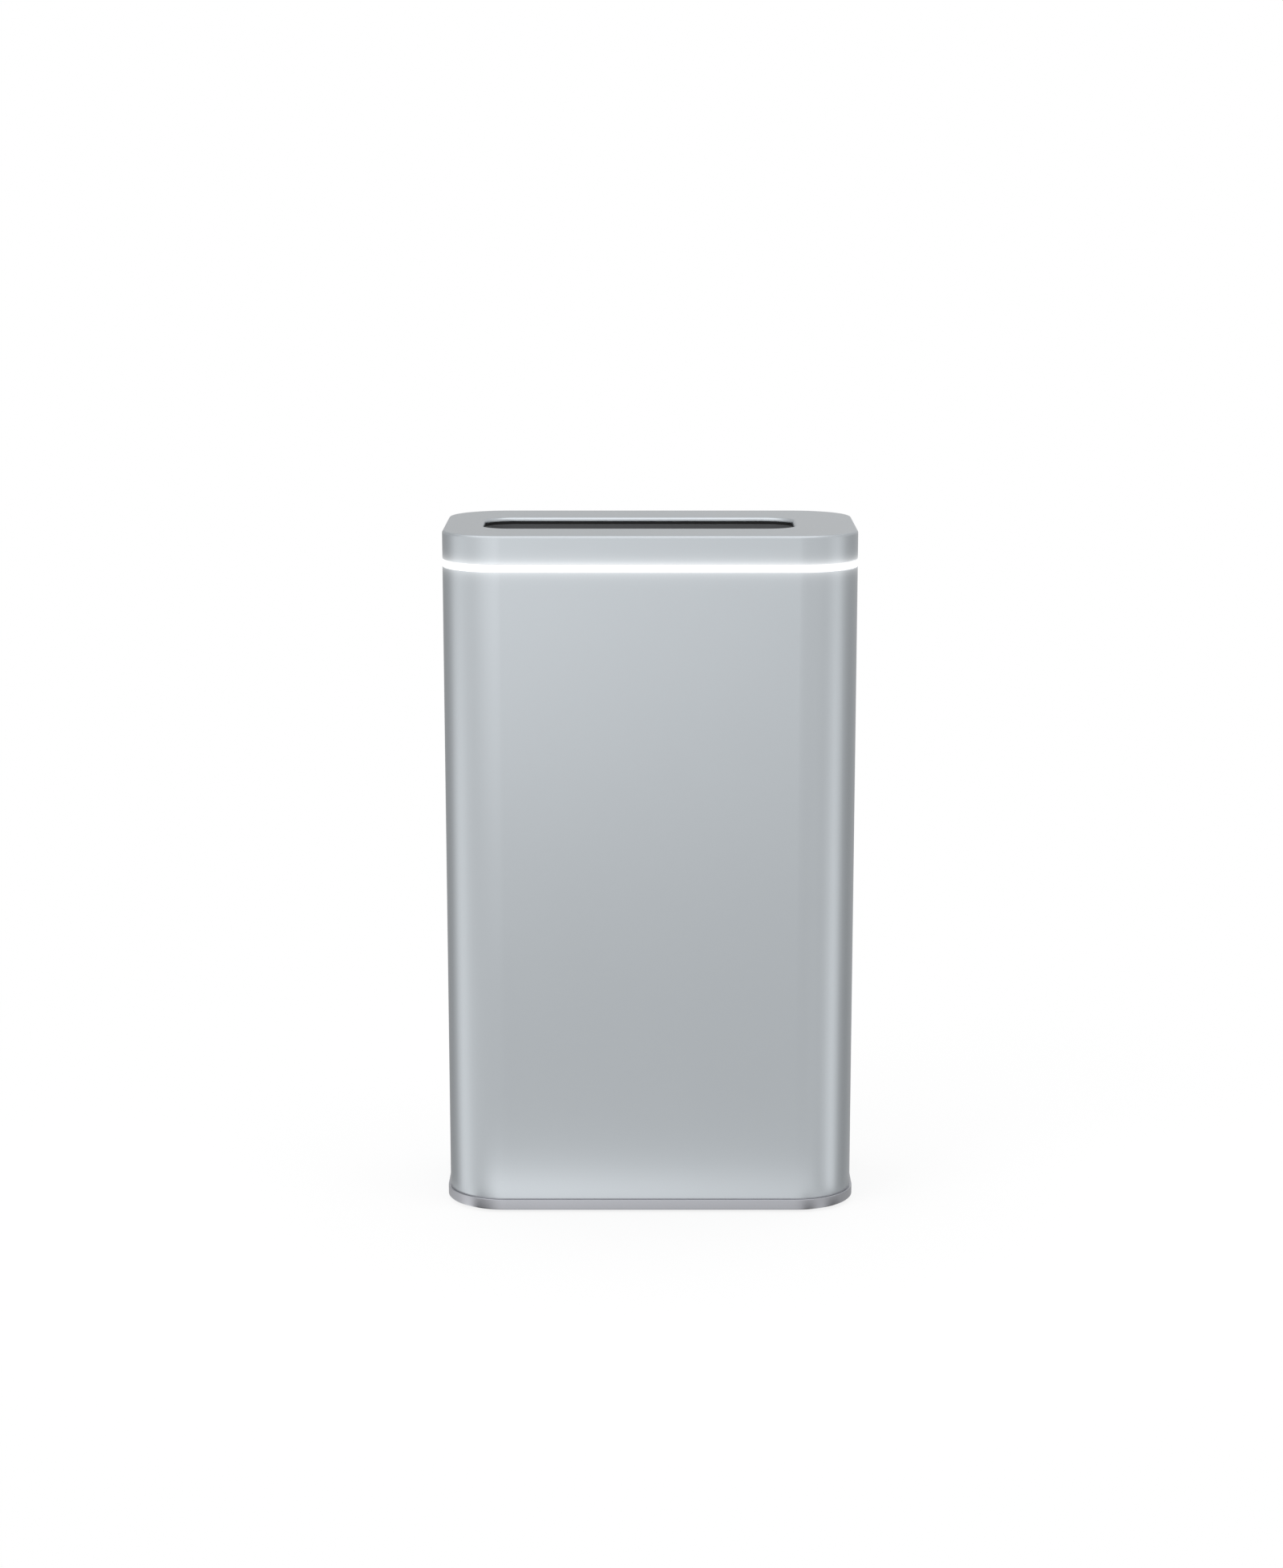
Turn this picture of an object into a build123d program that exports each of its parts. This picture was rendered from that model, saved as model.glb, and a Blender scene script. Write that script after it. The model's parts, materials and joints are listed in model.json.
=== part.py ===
from build123d import *
import os
from math import acos, atan, atan2, cos, degrees, pi, radians, sin, tan

# A free-standing ultraviolet box for a phone.  The phone is dropped into the slot in the top, a screw-driven
# carriage lowers it between two lamps, and two shutters close over it.
# Frame: origin at the centre of the underside, +Z up, -Y the front, +X the user's right.  Millimetres.

# ---------------------------------------------------------------- housing
WIDTH = 124.0  # sleeve, across
DEPTH = 74.0  # sleeve, front to back
CORNER = 18.0  # plan corner radius of the sleeve
BODY_H = 206.0  # underside of the base to the top plane
FOOT = 0.8  # how far the feet stand proud of the base
BASE_H = 3.3  # visible height of the base ring
BASE_LIP = 0.7  # the base stands proud of the sleeve by this much
SEAM = 0.2  # shadow gap between base and sleeve
SEAM_DEPTH = 0.8
SLEEVE_H = 195.2  # base underside to the top of the sleeve
RING_H = 2.5  # visible height of the light ring
SLEEVE_T = 1.8
CAP_T = 2.0  # side wall of the cap
CAP_TOP_T = 1.2
CAP_EDGE = 1.2  # rounding of the cap's top edge
FLOOR_T = 2.8  # base plate
FIT = 0.1  # clearance of a loose seat
RUN = 0.05  # radial clearance of a running fit

Z_BASE = FOOT
Z_FLOOR = Z_BASE + FLOOR_T  # upper face of the base plate, which the frames stand on
Z_RIM = Z_BASE + BASE_H
Z_SLEEVE = Z_RIM + SEAM
Z_RING = Z_BASE + SLEEVE_H
Z_CAP = Z_RING + RING_H
Z_LEG = Z_RING - 3.4  # foot of the light ring's leg
SKIRT = 4.2  # inset of the cap's skirt
Z_TOP = Z_BASE + BODY_H
INNER = SLEEVE_T  # inset of the sleeve's inner face

# ---------------------------------------------------------------- slot, chamber and shutters
SLOT_X = -3.4  # the slot is off centre, to make room for the lift on the right
SLOT_L, SLOT_W, SLOT_R = 95.8, 33.9, 9.75  # slot outline in the top plane
SLOT_EDGE = 1.0  # rounding of the slot's edge
GASKET_H = 0.9
CHAMBER = 47.2  # half the chamber's length, from SLOT_X to a frame's inner face
FRAME_T = 2.0
FRAME_D = 30.5  # half depth of the frames
PANE_Y, PANE_T = 15.6, 1.5  # inner face and thickness of the quartz panes
CHAMBER_FLOOR_Z, CHAMBER_FLOOR_T = 10.5, 1.5
Z_CHAMBER = CHAMBER_FLOOR_Z + CHAMBER_FLOOR_T
Z_DECK, DECK_T = 184.0, 2.0
Z_DECK_TOP = Z_DECK + DECK_T
DECK_INSET = 2.3
DOORWAY_L, DOORWAY_W = 92.2, 26.4  # hole in the deck that the phone passes through
SHUTTER_T = 2.0
SHUTTER_GAP = 0.15  # shutter above the deck
SHUTTER_TRAVEL = 14.6
SHUTTER_D = 13.6  # depth of one shutter without its tongue
TONGUE, TONGUE_GAP = 1.2, 0.2  # half-lapped light seal where the shutters meet
Z_SHUTTER = Z_DECK_TOP + SHUTTER_GAP
Z_SHUTTER_TOP = Z_SHUTTER + SHUTTER_T
SHUTTER_X = (-50.9, 43.9)
LINER_T = 1.6
LINER_INSET = 0.3  # the liner stands back from the slot's wall
Z_FLANGE, FLANGE_T = 188.4, 1.2  # cover over the shutters
Z_BOARD = Z_FLANGE + FLANGE_T  # the light ring's circuit board lies on it
COVER_FEET = [(x, y) for x in (-38.0, 31.0) for y in (-31.0, 31.0)]

# ---------------------------------------------------------------- lamps
LAMP_Y, LAMP_R, LAMP_CAP_R = 22.6, 3.0, 3.35
LAMP_Z = (30.0, 178.0)
REFLECTOR_Z = (26.0, 182.0)
REFLECTOR_T = 0.8
PLATE_T = 1.0

# ---------------------------------------------------------------- lift
LIFT_TRAVEL = 80.0
TRAY_Z, TRAY_T = 92.8, 2.6  # tray at the top of its travel
TRAY_HALF_L, TRAY_HALF_D = 45.8, 13.6
BLOCK_H = 8.4
SCREW_X, SCREW_R, SCREW_TOP = 52.9, 2.0, 111.0
ROD_Y, ROD_R = 10.0, 2.0  # guide rod beside the screw
LEFT_ROD_X, LEFT_ROD_R = -56.6, 1.5
BRACKET_Z, BRACKET_T = 106.0, 3.0
GEAR_Z, GEAR_T = 7.0, 3.0
LIFT_MODULE, LIFT_GEAR_TEETH, LIFT_PINION_TEETH = 0.4, 32, 20
MOTOR_Y = -LIFT_MODULE * (LIFT_GEAR_TEETH + LIFT_PINION_TEETH) / 2
SHELF_Z = 10.6  # motor shelf of the right frame
SHELF_T = 1.4

# ---------------------------------------------------------------- shutter drive
DOOR_X = 52.0  # pinion axis
DOOR_MODULE, DOOR_TEETH = 0.5, 18
DOOR_R = DOOR_MODULE * DOOR_TEETH / 2
RACK_T = 1.75
Z_LOW_RACK = Z_DECK + 0.2
Z_HIGH_RACK = Z_SHUTTER_TOP - RACK_T
RACK_BACK = 2.6  # bar behind the pitch line
RACK_ARM = (20.2, 23.2)  # stations of the arm that carries each rack, from the centre line
DOOR_BRACKET_Z = 181.5

# ---------------------------------------------------------------- gears
PRESSURE = radians(20)
BACKLASH = 0.08  # taken off each tooth's thickness
DEDENDUM = 1.25

# ---------------------------------------------------------------- electronics and controls
MAIN_BOARD_Z, BOARD_T = 5.6, 1.6
Z_MAIN = MAIN_BOARD_Z + BOARD_T
INLET_X, BUTTON_X, REAR_Z = -14.0, 14.0, 13.5
INLET_R, BUTTON_R = 5.0, 4.2
SENSOR_Y = 9.6
RIBBON_X = -29.0
RIBBON_Y = -33.1
LED_COUNT = 32
MOTOR_W, MOTOR_D, GEARBOX_H, MOTOR_H = 12.0, 10.0, 9.0, 15.0

# ---------------------------------------------------------------- fasteners
SHANK_R, HEAD_R = 1.2, 2.2
HEAD_H = 1.2
SCREW_SIDES = 12  # small fasteners are twelve-sided, which keeps the model light
COLUMNS = [(x, y) for x in (-54.0, 54.0) for y in (-20.0, 20.0)]  # the feet hide the screws into them
COLUMN_W = 5.2
FOOT_R, FOOT_SEAT = 5.0, 1.0


# ================================================================ helpers
def outline(inset):
    """Plan outline of the sleeve, moved inwards by inset."""
    return RectangleRounded(WIDTH - 2 * inset, DEPTH - 2 * inset, CORNER - inset)


def slab(inset, z0, z1):
    """Solid with the sleeve's plan outline."""
    return Pos(0, 0, z0) * extrude(outline(inset), z1 - z0)


def band(outer, inner, z0, z1):
    """Closed wall between two insets of the sleeve's outline."""
    return slab(outer, z0, z1) - slab(inner, z0, z1)


def block(x, y, z):
    """Box from its three (low, high) ranges."""
    size = [b - a for a, b in (x, y, z)]
    return Pos(*[(a + b) / 2 for a, b in (x, y, z)]) * Box(*size)


def rod(x, y, r, z0, z1):
    """Upright cylinder."""
    return Pos(x, y, (z0 + z1) / 2) * Cylinder(r, z1 - z0)


def rod_y(x, z, r, y0, y1):
    """Cylinder along Y."""
    return Pos(x, (y0 + y1) / 2, z) * Rot(90, 0, 0) * Cylinder(r, y1 - y0)


def slot_slab(grow, z0, z1):
    """Solid with the plan outline of the slot's upright wall, grown by grow on every side."""
    inner = grow - SLOT_EDGE
    shape = RectangleRounded(SLOT_L + 2 * inner, SLOT_W + 2 * inner, SLOT_R + inner)
    return Pos(SLOT_X, 0, z0) * extrude(shape, z1 - z0)


def screw(x, y, z_head, length, up, grow=0.0):
    """Countersunk screw with its flat at z_head, or the hole for it when it is grown."""
    head, shank = (RegularPolygon(r + grow, SCREW_SIDES) for r in (HEAD_R, SHANK_R))
    slope = degrees(atan((HEAD_R - SHANK_R) * cos(pi / SCREW_SIDES) / HEAD_H))
    body = extrude(head, HEAD_H, taper=slope) + Pos(0, 0, HEAD_H) * extrude(shank, length - HEAD_H)
    return Pos(x, y, z_head) * (body if up else Rot(180, 0, 0) * body)


def gear_face(teeth, module, phase=0.0):
    """Involute gear outline with a tooth on the line at angle phase, in degrees."""
    pitch = module * teeth / 2
    base, tip, root = pitch * cos(PRESSURE), pitch + module, pitch - DEDENDUM * module
    half = (pi * module / 2 - BACKLASH) / (2 * pitch) + tan(PRESSURE) - PRESSURE
    start = max(base, root)

    def flank(r):
        angle = acos(min(1.0, base / r))
        return half - (tan(angle) - angle)

    def at(r, angle):
        return (r * cos(angle), r * sin(angle))

    points = []
    step = 2 * pi / teeth
    for k in range(teeth):
        a = radians(phase) + k * step
        points.append(at(root, a - flank(start)))
        points += [at(r, a - flank(r)) for r in (start, (start + tip) / 2, tip) if r > root]
        points += [at(r, a + flank(r)) for r in (tip, (start + tip) / 2, start) if r > root]
        points.append(at(root, a + flank(start)))
    return make_face(Polyline(*points, close=True))


def rack_face(first, last, back):
    """Rack along Y with its teeth towards +X, pitch line at X = 0 and a gap centred on Y = 0."""
    pitch = pi * DOOR_MODULE
    half = pitch / 4 - BACKLASH / 2
    tip, root = DOOR_MODULE, -DEDENDUM * DOOR_MODULE
    points = [(-back, first * pitch)]
    for k in range(first, last):
        middle = (k + 0.5) * pitch
        points += [
            (root, middle - half + root * tan(PRESSURE)),
            (tip, middle - half + tip * tan(PRESSURE)),
            (tip, middle + half - tip * tan(PRESSURE)),
            (root, middle + half - root * tan(PRESSURE)),
        ]
    points.append((-back, last * pitch))
    return make_face(Polyline(*points, close=True))


# ================================================================ housing
def base_plate():
    """Tray-shaped base: proud rim, shadow-gap step, spigot for the sleeve, seats and bosses."""
    rim = chamfer(slab(-BASE_LIP, Z_BASE, Z_RIM).edges().group_by(Axis.Z)[0], 0.4)
    plate = rim + slab(SEAM_DEPTH, Z_RIM, Z_SLEEVE) + slab(INNER + FIT, Z_SLEEVE, Z_SLEEVE + 5)
    plate -= slab(INNER + FIT + 1.6, Z_FLOOR, Z_SLEEVE + 5)
    for x, y in COLUMNS:
        plate -= rod(x, y, FOOT_R + FIT, Z_BASE, Z_BASE + FOOT_SEAT)
    for x in (INLET_X, BUTTON_X):
        plate -= block((x - 5.6, x + 5.6), (DEPTH / 2 - 4, DEPTH / 2), (Z_SLEEVE, Z_SLEEVE + 5))
    plate -= rod(SCREW_X, 0, LIFT_MODULE * LIFT_GEAR_TEETH / 2 + 1, GEAR_Z - 0.6, Z_SLEEVE + 5)
    for x in (-44.0, 36.0):
        for y in (-26.0, 26.0):
            plate += block((x - 2, x + 2), (y - 2, y + 2), (Z_FLOOR, MAIN_BOARD_Z))
    plate += block((SCREW_X - 4.3, SCREW_X + 4.3), (-4.3, ROD_Y + 3.2), (Z_FLOOR, Z_FLOOR + 3))
    plate += block((LEFT_ROD_X - 2.6, LEFT_ROD_X + 2.6), (-3, 3), (Z_FLOOR, Z_FLOOR + 3))
    for x, y, r in ((SCREW_X, 0, 3.2), (SCREW_X, ROD_Y, ROD_R), (LEFT_ROD_X, 0, LEFT_ROD_R)):
        plate -= rod(x, y, r, Z_FLOOR, Z_FLOOR + 3)
    for hole in base_screws(FIT):
        plate -= hole
    return plate


def foot_pads():
    """Four soft discs seated in the base."""
    return [rod(x, y, FOOT_R, 0, FOOT + FOOT_SEAT) for x, y in COLUMNS]


def body_sleeve():
    """Drawn metal sleeve with the inlet and button holes in its back."""
    sleeve = band(0, INNER, Z_SLEEVE, Z_RING)
    back = (DEPTH / 2 - SLEEVE_T - 1, DEPTH / 2 + 1)
    sleeve -= rod_y(INLET_X, REAR_Z, INLET_R + 0.3, *back)
    sleeve -= rod_y(BUTTON_X, REAR_Z, BUTTON_R + 0.3, *back)
    return sleeve


def light_ring():
    """Frosted light guide: a visible band on the sleeve's edge and a leg down to the lights."""
    ring = slab(FIT, Z_RING, Z_CAP) + slab(INNER + FIT, Z_LEG, Z_RING)
    return ring - slab(SKIRT - FIT, Z_LEG, Z_CAP)


def top_cap():
    """Cap with the phone slot and a skirt whose hooks snap under the light ring's leg."""
    cap = slab(0, Z_CAP, Z_TOP) - slab(CAP_T, Z_CAP, Z_TOP - CAP_TOP_T)
    cap = fillet(cap.edges().group_by(Axis.Z)[-1], CAP_EDGE)
    cap += band(SKIRT, SKIRT + 1.2, Z_LEG - 1.3, Z_TOP - CAP_TOP_T)
    for side in (-1, 1):
        for x in (-25, 25):
            face = side * (DEPTH / 2 - SKIRT)
            hook = Polyline((0, 0), (0, -1.0), (side * 0.5, -0.4), (side * 0.5, 0), close=True)
            cap += Pos(x, face, Z_LEG - FIT) * extrude(Plane.YZ * make_face(hook), 6, both=True)
    cap -= slot_slab(0, Z_TOP - CAP_TOP_T - 1, Z_TOP + 1)
    rim = cap.edges().group_by(Axis.Z)[-1].filter_by(
        lambda e: abs((e @ 0.5).Y) < SLOT_W / 2 and abs((e @ 0.5).X - SLOT_X) < SLOT_L / 2)
    return fillet(rim, SLOT_EDGE)


def slot_gasket():
    """Black seal between the cap and the slot liner."""
    z = Z_TOP - CAP_TOP_T
    return slot_slab(2.3, z - GASKET_H, z) - slot_slab(0.3, z - GASKET_H, z)


def slot_liner():
    """Moulded well from the slot to the cover over the shutters, with ramps that guide the phone."""
    z_top = Z_TOP - CAP_TOP_T - GASKET_H
    wall = SLOT_W / 2 - SLOT_EDGE - LINER_INSET
    liner = slot_slab(LINER_T - LINER_INSET, Z_BOARD, z_top) - slot_slab(-LINER_INSET, Z_BOARD, z_top)
    for side in (-1, 1):
        corners = [(wall, z_top - 3.4), (wall, Z_BOARD), (DOORWAY_W / 2, Z_BOARD)]
        ramp = make_face(Polyline(*[(side * y, z) for y, z in corners], close=True))
        bar = Pos(SLOT_X, 0, 0) * extrude(Plane.YZ * ramp, SLOT_L / 2, both=True)
        liner += bar & slot_slab(0, Z_BOARD, z_top)
    return liner


def doorway(z0, z1):
    """Hole that the phone passes through."""
    return Pos(SLOT_X, 0, z0) * extrude(RectangleRounded(DOORWAY_L, DOORWAY_W, 6), z1 - z0)


def ribbon_gap(z0, z1):
    """Notch for the flat cable."""
    return block((RIBBON_X - 5, RIBBON_X + 5), (-DEPTH / 2, RIBBON_Y + 1), (z0, z1))


def shutter_cover():
    """Plate over the shutters, on four feet outside their travel."""
    cover = slab(3.2, Z_FLANGE, Z_BOARD) - doorway(Z_FLANGE, Z_BOARD) - ribbon_gap(Z_FLANGE, Z_BOARD)
    for x, y in COVER_FEET:
        cover += block((x - 4, x + 4), (y - 2, y + 2), (Z_DECK_TOP, Z_FLANGE))
    return cover


# ================================================================ chamber
def side_frame(side):
    """Moulded side wall: carriage slot, pane grooves, ledges, cable windows and screw columns."""
    inner = SLOT_X + side * CHAMBER

    def across(a, b):
        return tuple(sorted((inner + side * a, inner + side * b)))

    frame = block(across(0, FRAME_T), (-FRAME_D, FRAME_D), (Z_FLOOR, Z_DECK))
    column = [(x, y) for x, y in COLUMNS if x * side > 0]
    for x, y in column:
        far = abs(x - inner) + COLUMN_W / 2
        frame += block(across(far - COLUMN_W, far), (y - COLUMN_W / 2, y + COLUMN_W / 2), (Z_FLOOR, Z_DECK))
        frame += block(across(0, far - 1), (y - 0.8, y + 0.8), (Z_FLOOR, Z_DECK))
    for s in (-1, 1):
        def out(a, b):
            return tuple(sorted((s * a, s * b)))

        for y in (PANE_Y - 0.6, PANE_Y + PANE_T + 0.1):
            frame += block(across(-1.2, 0), out(y, y + 0.5), (Z_CHAMBER, Z_DECK))
        ledge = out(PANE_Y + PANE_T + 1.1, FRAME_D)
        frame += block(across(-3, 0), ledge, (REFLECTOR_Z[0] - 1.5, REFLECTOR_Z[0]))
        frame -= block(across(-1, FRAME_T), out(24, 29), (Z_FLOOR + 4, REFLECTOR_Z[0] - 4))
    frame += block(across(-2, 0), (-14, 14), (CHAMBER_FLOOR_Z - 1.2, CHAMBER_FLOOR_Z))
    frame -= block(across(-2.5, FRAME_T + 1), (-3.1, 3.1), (Z_CHAMBER, TRAY_Z + TRAY_T + 4))
    if side > 0:
        shelf_y = (MOTOR_Y - 6.2, MOTOR_Y + 5.6)
        frame += block(across(FRAME_T, 15.2), shelf_y, (SHELF_Z, SHELF_Z + SHELF_T))
        frame += block(across(FRAME_T, 11), (shelf_y[0], shelf_y[0] + 1.2), (Z_FLOOR, SHELF_Z))
        frame -= rod(SCREW_X, MOTOR_Y, 2.2, SHELF_Z - 1, SHELF_Z + SHELF_T + 1)
    else:
        frame -= Pos(inner - 1, SENSOR_Y, 105) * Rot(0, 90, 0) * Cylinder(1.6, 4)
    for hole in base_screws(RUN) + deck_screws(RUN):
        frame -= hole
    return frame


def chamber_floor():
    """Floor of the chamber, on the frames' ledges, with a stiffening rib under each edge."""
    half = PANE_Y + PANE_T + 0.6
    ends = (SLOT_X - CHAMBER, SLOT_X + CHAMBER)
    floor = block(ends, (-half, half), (CHAMBER_FLOOR_Z, Z_CHAMBER))
    for s in (-1, 1):
        rib = tuple(sorted((s * (half - 1.2), s * half)))
        floor += block((ends[0] + 4, ends[1] - 4), rib, (CHAMBER_FLOOR_Z - 2, CHAMBER_FLOOR_Z))
    return floor


def pane(side):
    """Quartz pane between the phone and a lamp."""
    y = tuple(sorted((side * PANE_Y, side * (PANE_Y + PANE_T))))
    return block((SLOT_X - CHAMBER + 0.2, SLOT_X + CHAMBER - 0.2), y, (Z_CHAMBER, Z_DECK))


def reflector(side):
    """Polished gull-wing trough: two arcs that meet in a cusp behind the lamp, closed by notched end plates."""
    edge, crest, cusp = (CHAMBER - 0.5, 18.7), (30.0, 26.9), (0.0, 28.0)
    wings = [ThreePointArc((s * edge[0], edge[1]), (s * crest[0], crest[1]), cusp) for s in (-1, 1)]
    sheet = extrude(trace(Curve() + wings, REFLECTOR_T), REFLECTOR_Z[1] - REFLECTOR_Z[0])
    end = make_face(wings + [Line((-edge[0], edge[1]), edge)])
    notch = LAMP_CAP_R + RUN
    end -= Pos(0, LAMP_Y - 10 + notch) * Rectangle(2 * notch, 20)
    for z in (0, REFLECTOR_Z[1] - REFLECTOR_Z[0] - PLATE_T):
        sheet += Pos(0, 0, z) * extrude(end, PLATE_T)
    trough = Pos(SLOT_X, 0, REFLECTOR_Z[0]) * sheet
    return trough if side > 0 else mirror(trough, Plane.XZ)


def lamp(side):
    """Ultraviolet tube."""
    return rod(SLOT_X, side * LAMP_Y, LAMP_R, *LAMP_Z)


def lamp_caps():
    """Metal cap on each end of each lamp."""
    ends = ((LAMP_Z[0] - 6, LAMP_Z[0]), (LAMP_Z[1], LAMP_Z[1] + 5.8))
    return [rod(SLOT_X, side * LAMP_Y, LAMP_CAP_R, *z) for side in (-1, 1) for z in ends]


def lamp_clips():
    """Clip that holds each lamp cap against a reflector's end plate."""
    clips = []
    for side in (-1, 1):
        for z in ((REFLECTOR_Z[0] + PLATE_T, LAMP_Z[0]), (LAMP_Z[1], REFLECTOR_Z[1] - PLATE_T)):
            near, far = LAMP_Y - LAMP_CAP_R - 0.6, LAMP_Y + LAMP_CAP_R + 1.2
            clip = block((SLOT_X - 5, SLOT_X + 5), tuple(sorted((side * near, side * far))), z)
            gap = tuple(sorted((side * (near - 1), side * (LAMP_Y + LAMP_CAP_R))))
            clips.append(clip - block((SLOT_X - LAMP_CAP_R, SLOT_X + LAMP_CAP_R), gap, z))
    return clips


# ================================================================ shutters and their drive
def shutter_deck():
    """Deck on the frames: doorway, drive cut-out, guide rail and pane stops."""
    deck = slab(DECK_INSET, Z_DECK, Z_DECK_TOP) - doorway(Z_DECK, Z_DECK_TOP) - ribbon_gap(Z_DECK, Z_DECK_TOP)
    deck -= block((44.0, 48.4), (-18.5, 25), (Z_DECK, Z_DECK_TOP))
    deck -= block((48.4, 57.5), (-6, 6), (Z_DECK, Z_DECK_TOP))
    deck += block((SHUTTER_X[0] - 2, SHUTTER_X[0] - 0.4), (-28, 28), (Z_DECK_TOP, Z_SHUTTER_TOP))
    for s in (-1, 1):
        stop = tuple(sorted((s * (PANE_Y + PANE_T + 0.1), s * (PANE_Y + PANE_T + 1.1))))
        deck += block((SLOT_X - CHAMBER + 3, SLOT_X + CHAMBER - 3), stop, (Z_DECK - 0.9, Z_DECK))
    for hole in deck_screws(FIT):
        deck -= hole
    return deck


def shutter(side):
    """Sliding door at its open stop.  side -1 is the front door, whose tongue is the lower half lap."""
    near = SHUTTER_TRAVEL
    far = near + SHUTTER_D
    middle = (Z_SHUTTER + Z_SHUTTER_TOP) / 2
    lower, upper = (Z_SHUTTER, middle - TONGUE_GAP / 2), (middle + TONGUE_GAP / 2, Z_SHUTTER_TOP)
    tongue, lap = (lower, upper) if side < 0 else (upper, lower)

    def across(a, b):
        return tuple(sorted((side * a, side * b)))

    door = block(SHUTTER_X, across(near - TONGUE, far), tongue)
    door += block(SHUTTER_X, across(near + TONGUE + TONGUE_GAP, far), (Z_SHUTTER, Z_SHUTTER_TOP))
    z_rack = Z_HIGH_RACK if side < 0 else Z_LOW_RACK
    teeth_back = int((RACK_ARM[0] + 1) / (pi * DOOR_MODULE)) + 1
    rack = rack_face(-teeth_back, 2, RACK_BACK) if side > 0 else rack_face(-2, teeth_back, RACK_BACK)
    if side < 0:
        rack = Pos(DOOR_X + DOOR_R, 0) * Rot(0, 0, 180) * rack
        arm_x = (SHUTTER_X[1] - 1, DOOR_X + DOOR_R + RACK_BACK)
        arm_z = (Z_HIGH_RACK, Z_SHUTTER_TOP)
    else:
        rack = Pos(DOOR_X - DOOR_R, 0) * mirror(rack, Plane.XZ)
        arm_x = (SHUTTER_X[1] - 1, DOOR_X - DOOR_R - DEDENDUM * DOOR_MODULE)
        arm_z = (Z_SHUTTER, Z_SHUTTER_TOP)
        door += block((DOOR_X - DOOR_R - RACK_BACK, arm_x[1]), across(*RACK_ARM), (Z_LOW_RACK, Z_SHUTTER_TOP))
    door += block(arm_x, across(*RACK_ARM), arm_z)
    return door + Pos(0, 0, z_rack) * extrude(rack, RACK_T)


def shutter_pinion():
    """Wide pinion that drives both racks, on the motor's output shaft."""
    z0, z1 = Z_DECK - 0.4, Z_SHUTTER_TOP
    gear = Pos(DOOR_X, 0, z0) * extrude(gear_face(DOOR_TEETH, DOOR_MODULE), z1 - z0)
    return gear + rod(DOOR_X, 0, 1.5, DOOR_BRACKET_Z - 3, z0)


def gear_motor(x, y, z_face, up):
    """Small gear motor with its gearbox face at z_face and its can on the other side."""
    half_w, half_d = MOTOR_W / 2, MOTOR_D / 2
    gearbox = block((-half_w, half_w), (-half_d, half_d), (0, 1))
    gearbox += block((-half_w, half_w), (-half_d, half_d), (GEARBOX_H - 1, GEARBOX_H))
    gearbox += block((-half_w + 0.8, half_w - 0.8), (-half_d + 0.8, half_d - 0.8), (1, GEARBOX_H - 1))
    can = rod(0, 0, half_w, GEARBOX_H, GEARBOX_H + MOTOR_H)
    can &= block((-half_w, half_w), (-half_d, half_d), (GEARBOX_H, GEARBOX_H + MOTOR_H))
    motor = gearbox + can - rod(0, 0, 1.5 + RUN, 0, 3.2)
    for s in (-1, 1):
        motor += block((s * 3 - 0.3, s * 3 + 0.3), (-1, 1), (GEARBOX_H + MOTOR_H, GEARBOX_H + MOTOR_H + 2))
    return Pos(x, y, z_face) * (Rot(180, 0, 0) * motor if up else motor)


def shutter_bracket():
    """Angle bracket that holds the shutter motor on the right frame."""
    x0 = SLOT_X + CHAMBER + FRAME_T
    plate = block((x0, x0 + 13), (-11, 11), (DOOR_BRACKET_Z, DOOR_BRACKET_Z + 1.5))
    plate += block((x0, x0 + 1.2), (-11, -7), (DOOR_BRACKET_Z - 14, DOOR_BRACKET_Z))
    plate += block((x0, x0 + 1.2), (7, 11), (DOOR_BRACKET_Z - 14, DOOR_BRACKET_Z))
    return plate - rod(DOOR_X, 0, 2.2, DOOR_BRACKET_Z - 1, DOOR_BRACKET_Z + 2)


def door_switch():
    """Interlock switch that the front shutter's arm presses at the open stop."""
    return block((50.6, 56.4), (-28.0, -24.8), (Z_DECK_TOP, Z_SHUTTER_TOP)) + block(
        (52.6, 54.4), (-24.8, -RACK_ARM[1] - 0.3), (Z_DECK_TOP + 0.5, Z_SHUTTER_TOP - 0.5)
    )


# ================================================================ lift
def carriage():
    """Slotted tray with arms through both frames to a nut block and a guide shoe."""
    x0, x1 = SLOT_X - TRAY_HALF_L, SLOT_X + TRAY_HALF_L
    z0, z1 = TRAY_Z, TRAY_Z + TRAY_T
    plan = RectangleRounded(2 * TRAY_HALF_L, 2 * TRAY_HALF_D, 5)
    rim = RectangleRounded(2 * TRAY_HALF_L - 3, 2 * TRAY_HALF_D - 3, 3.5)
    tray = Pos(SLOT_X, 0, z0) * extrude(plan, TRAY_T + 1) - Pos(SLOT_X, 0, z1) * extrude(rim, 1)
    for k in range(-4, 5):
        tray -= Pos(SLOT_X + 9 * k, 0, z0 + TRAY_T / 2) * Box(4, 20, TRAY_T)
    arm_z = (z0, z1 + 1)
    tray += block((x1 - 1, SCREW_X - 3), (-2.6, 2.6), arm_z)
    tray += block((LEFT_ROD_X + 2, x0 + 1), (-2.6, 2.6), arm_z)
    nut_block = Pos(SCREW_X, (ROD_Y + 3.2 - 4.1) / 2, z0) * extrude(
        RectangleRounded(8.4, ROD_Y + 3.2 + 4.1, 2), BLOCK_H)
    shoe = block((LEFT_ROD_X - 2.5, LEFT_ROD_X + 2.5), (-3.2, 3.2), (z0, z0 + BLOCK_H))
    tray += nut_block + shoe
    tray -= rod(SCREW_X, 0, 3.2, z0, z0 + BLOCK_H)
    tray -= rod(SCREW_X, ROD_Y, ROD_R + RUN, z0, z0 + BLOCK_H)
    return tray - rod(LEFT_ROD_X, 0, LEFT_ROD_R + RUN, z0, z0 + BLOCK_H)


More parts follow.
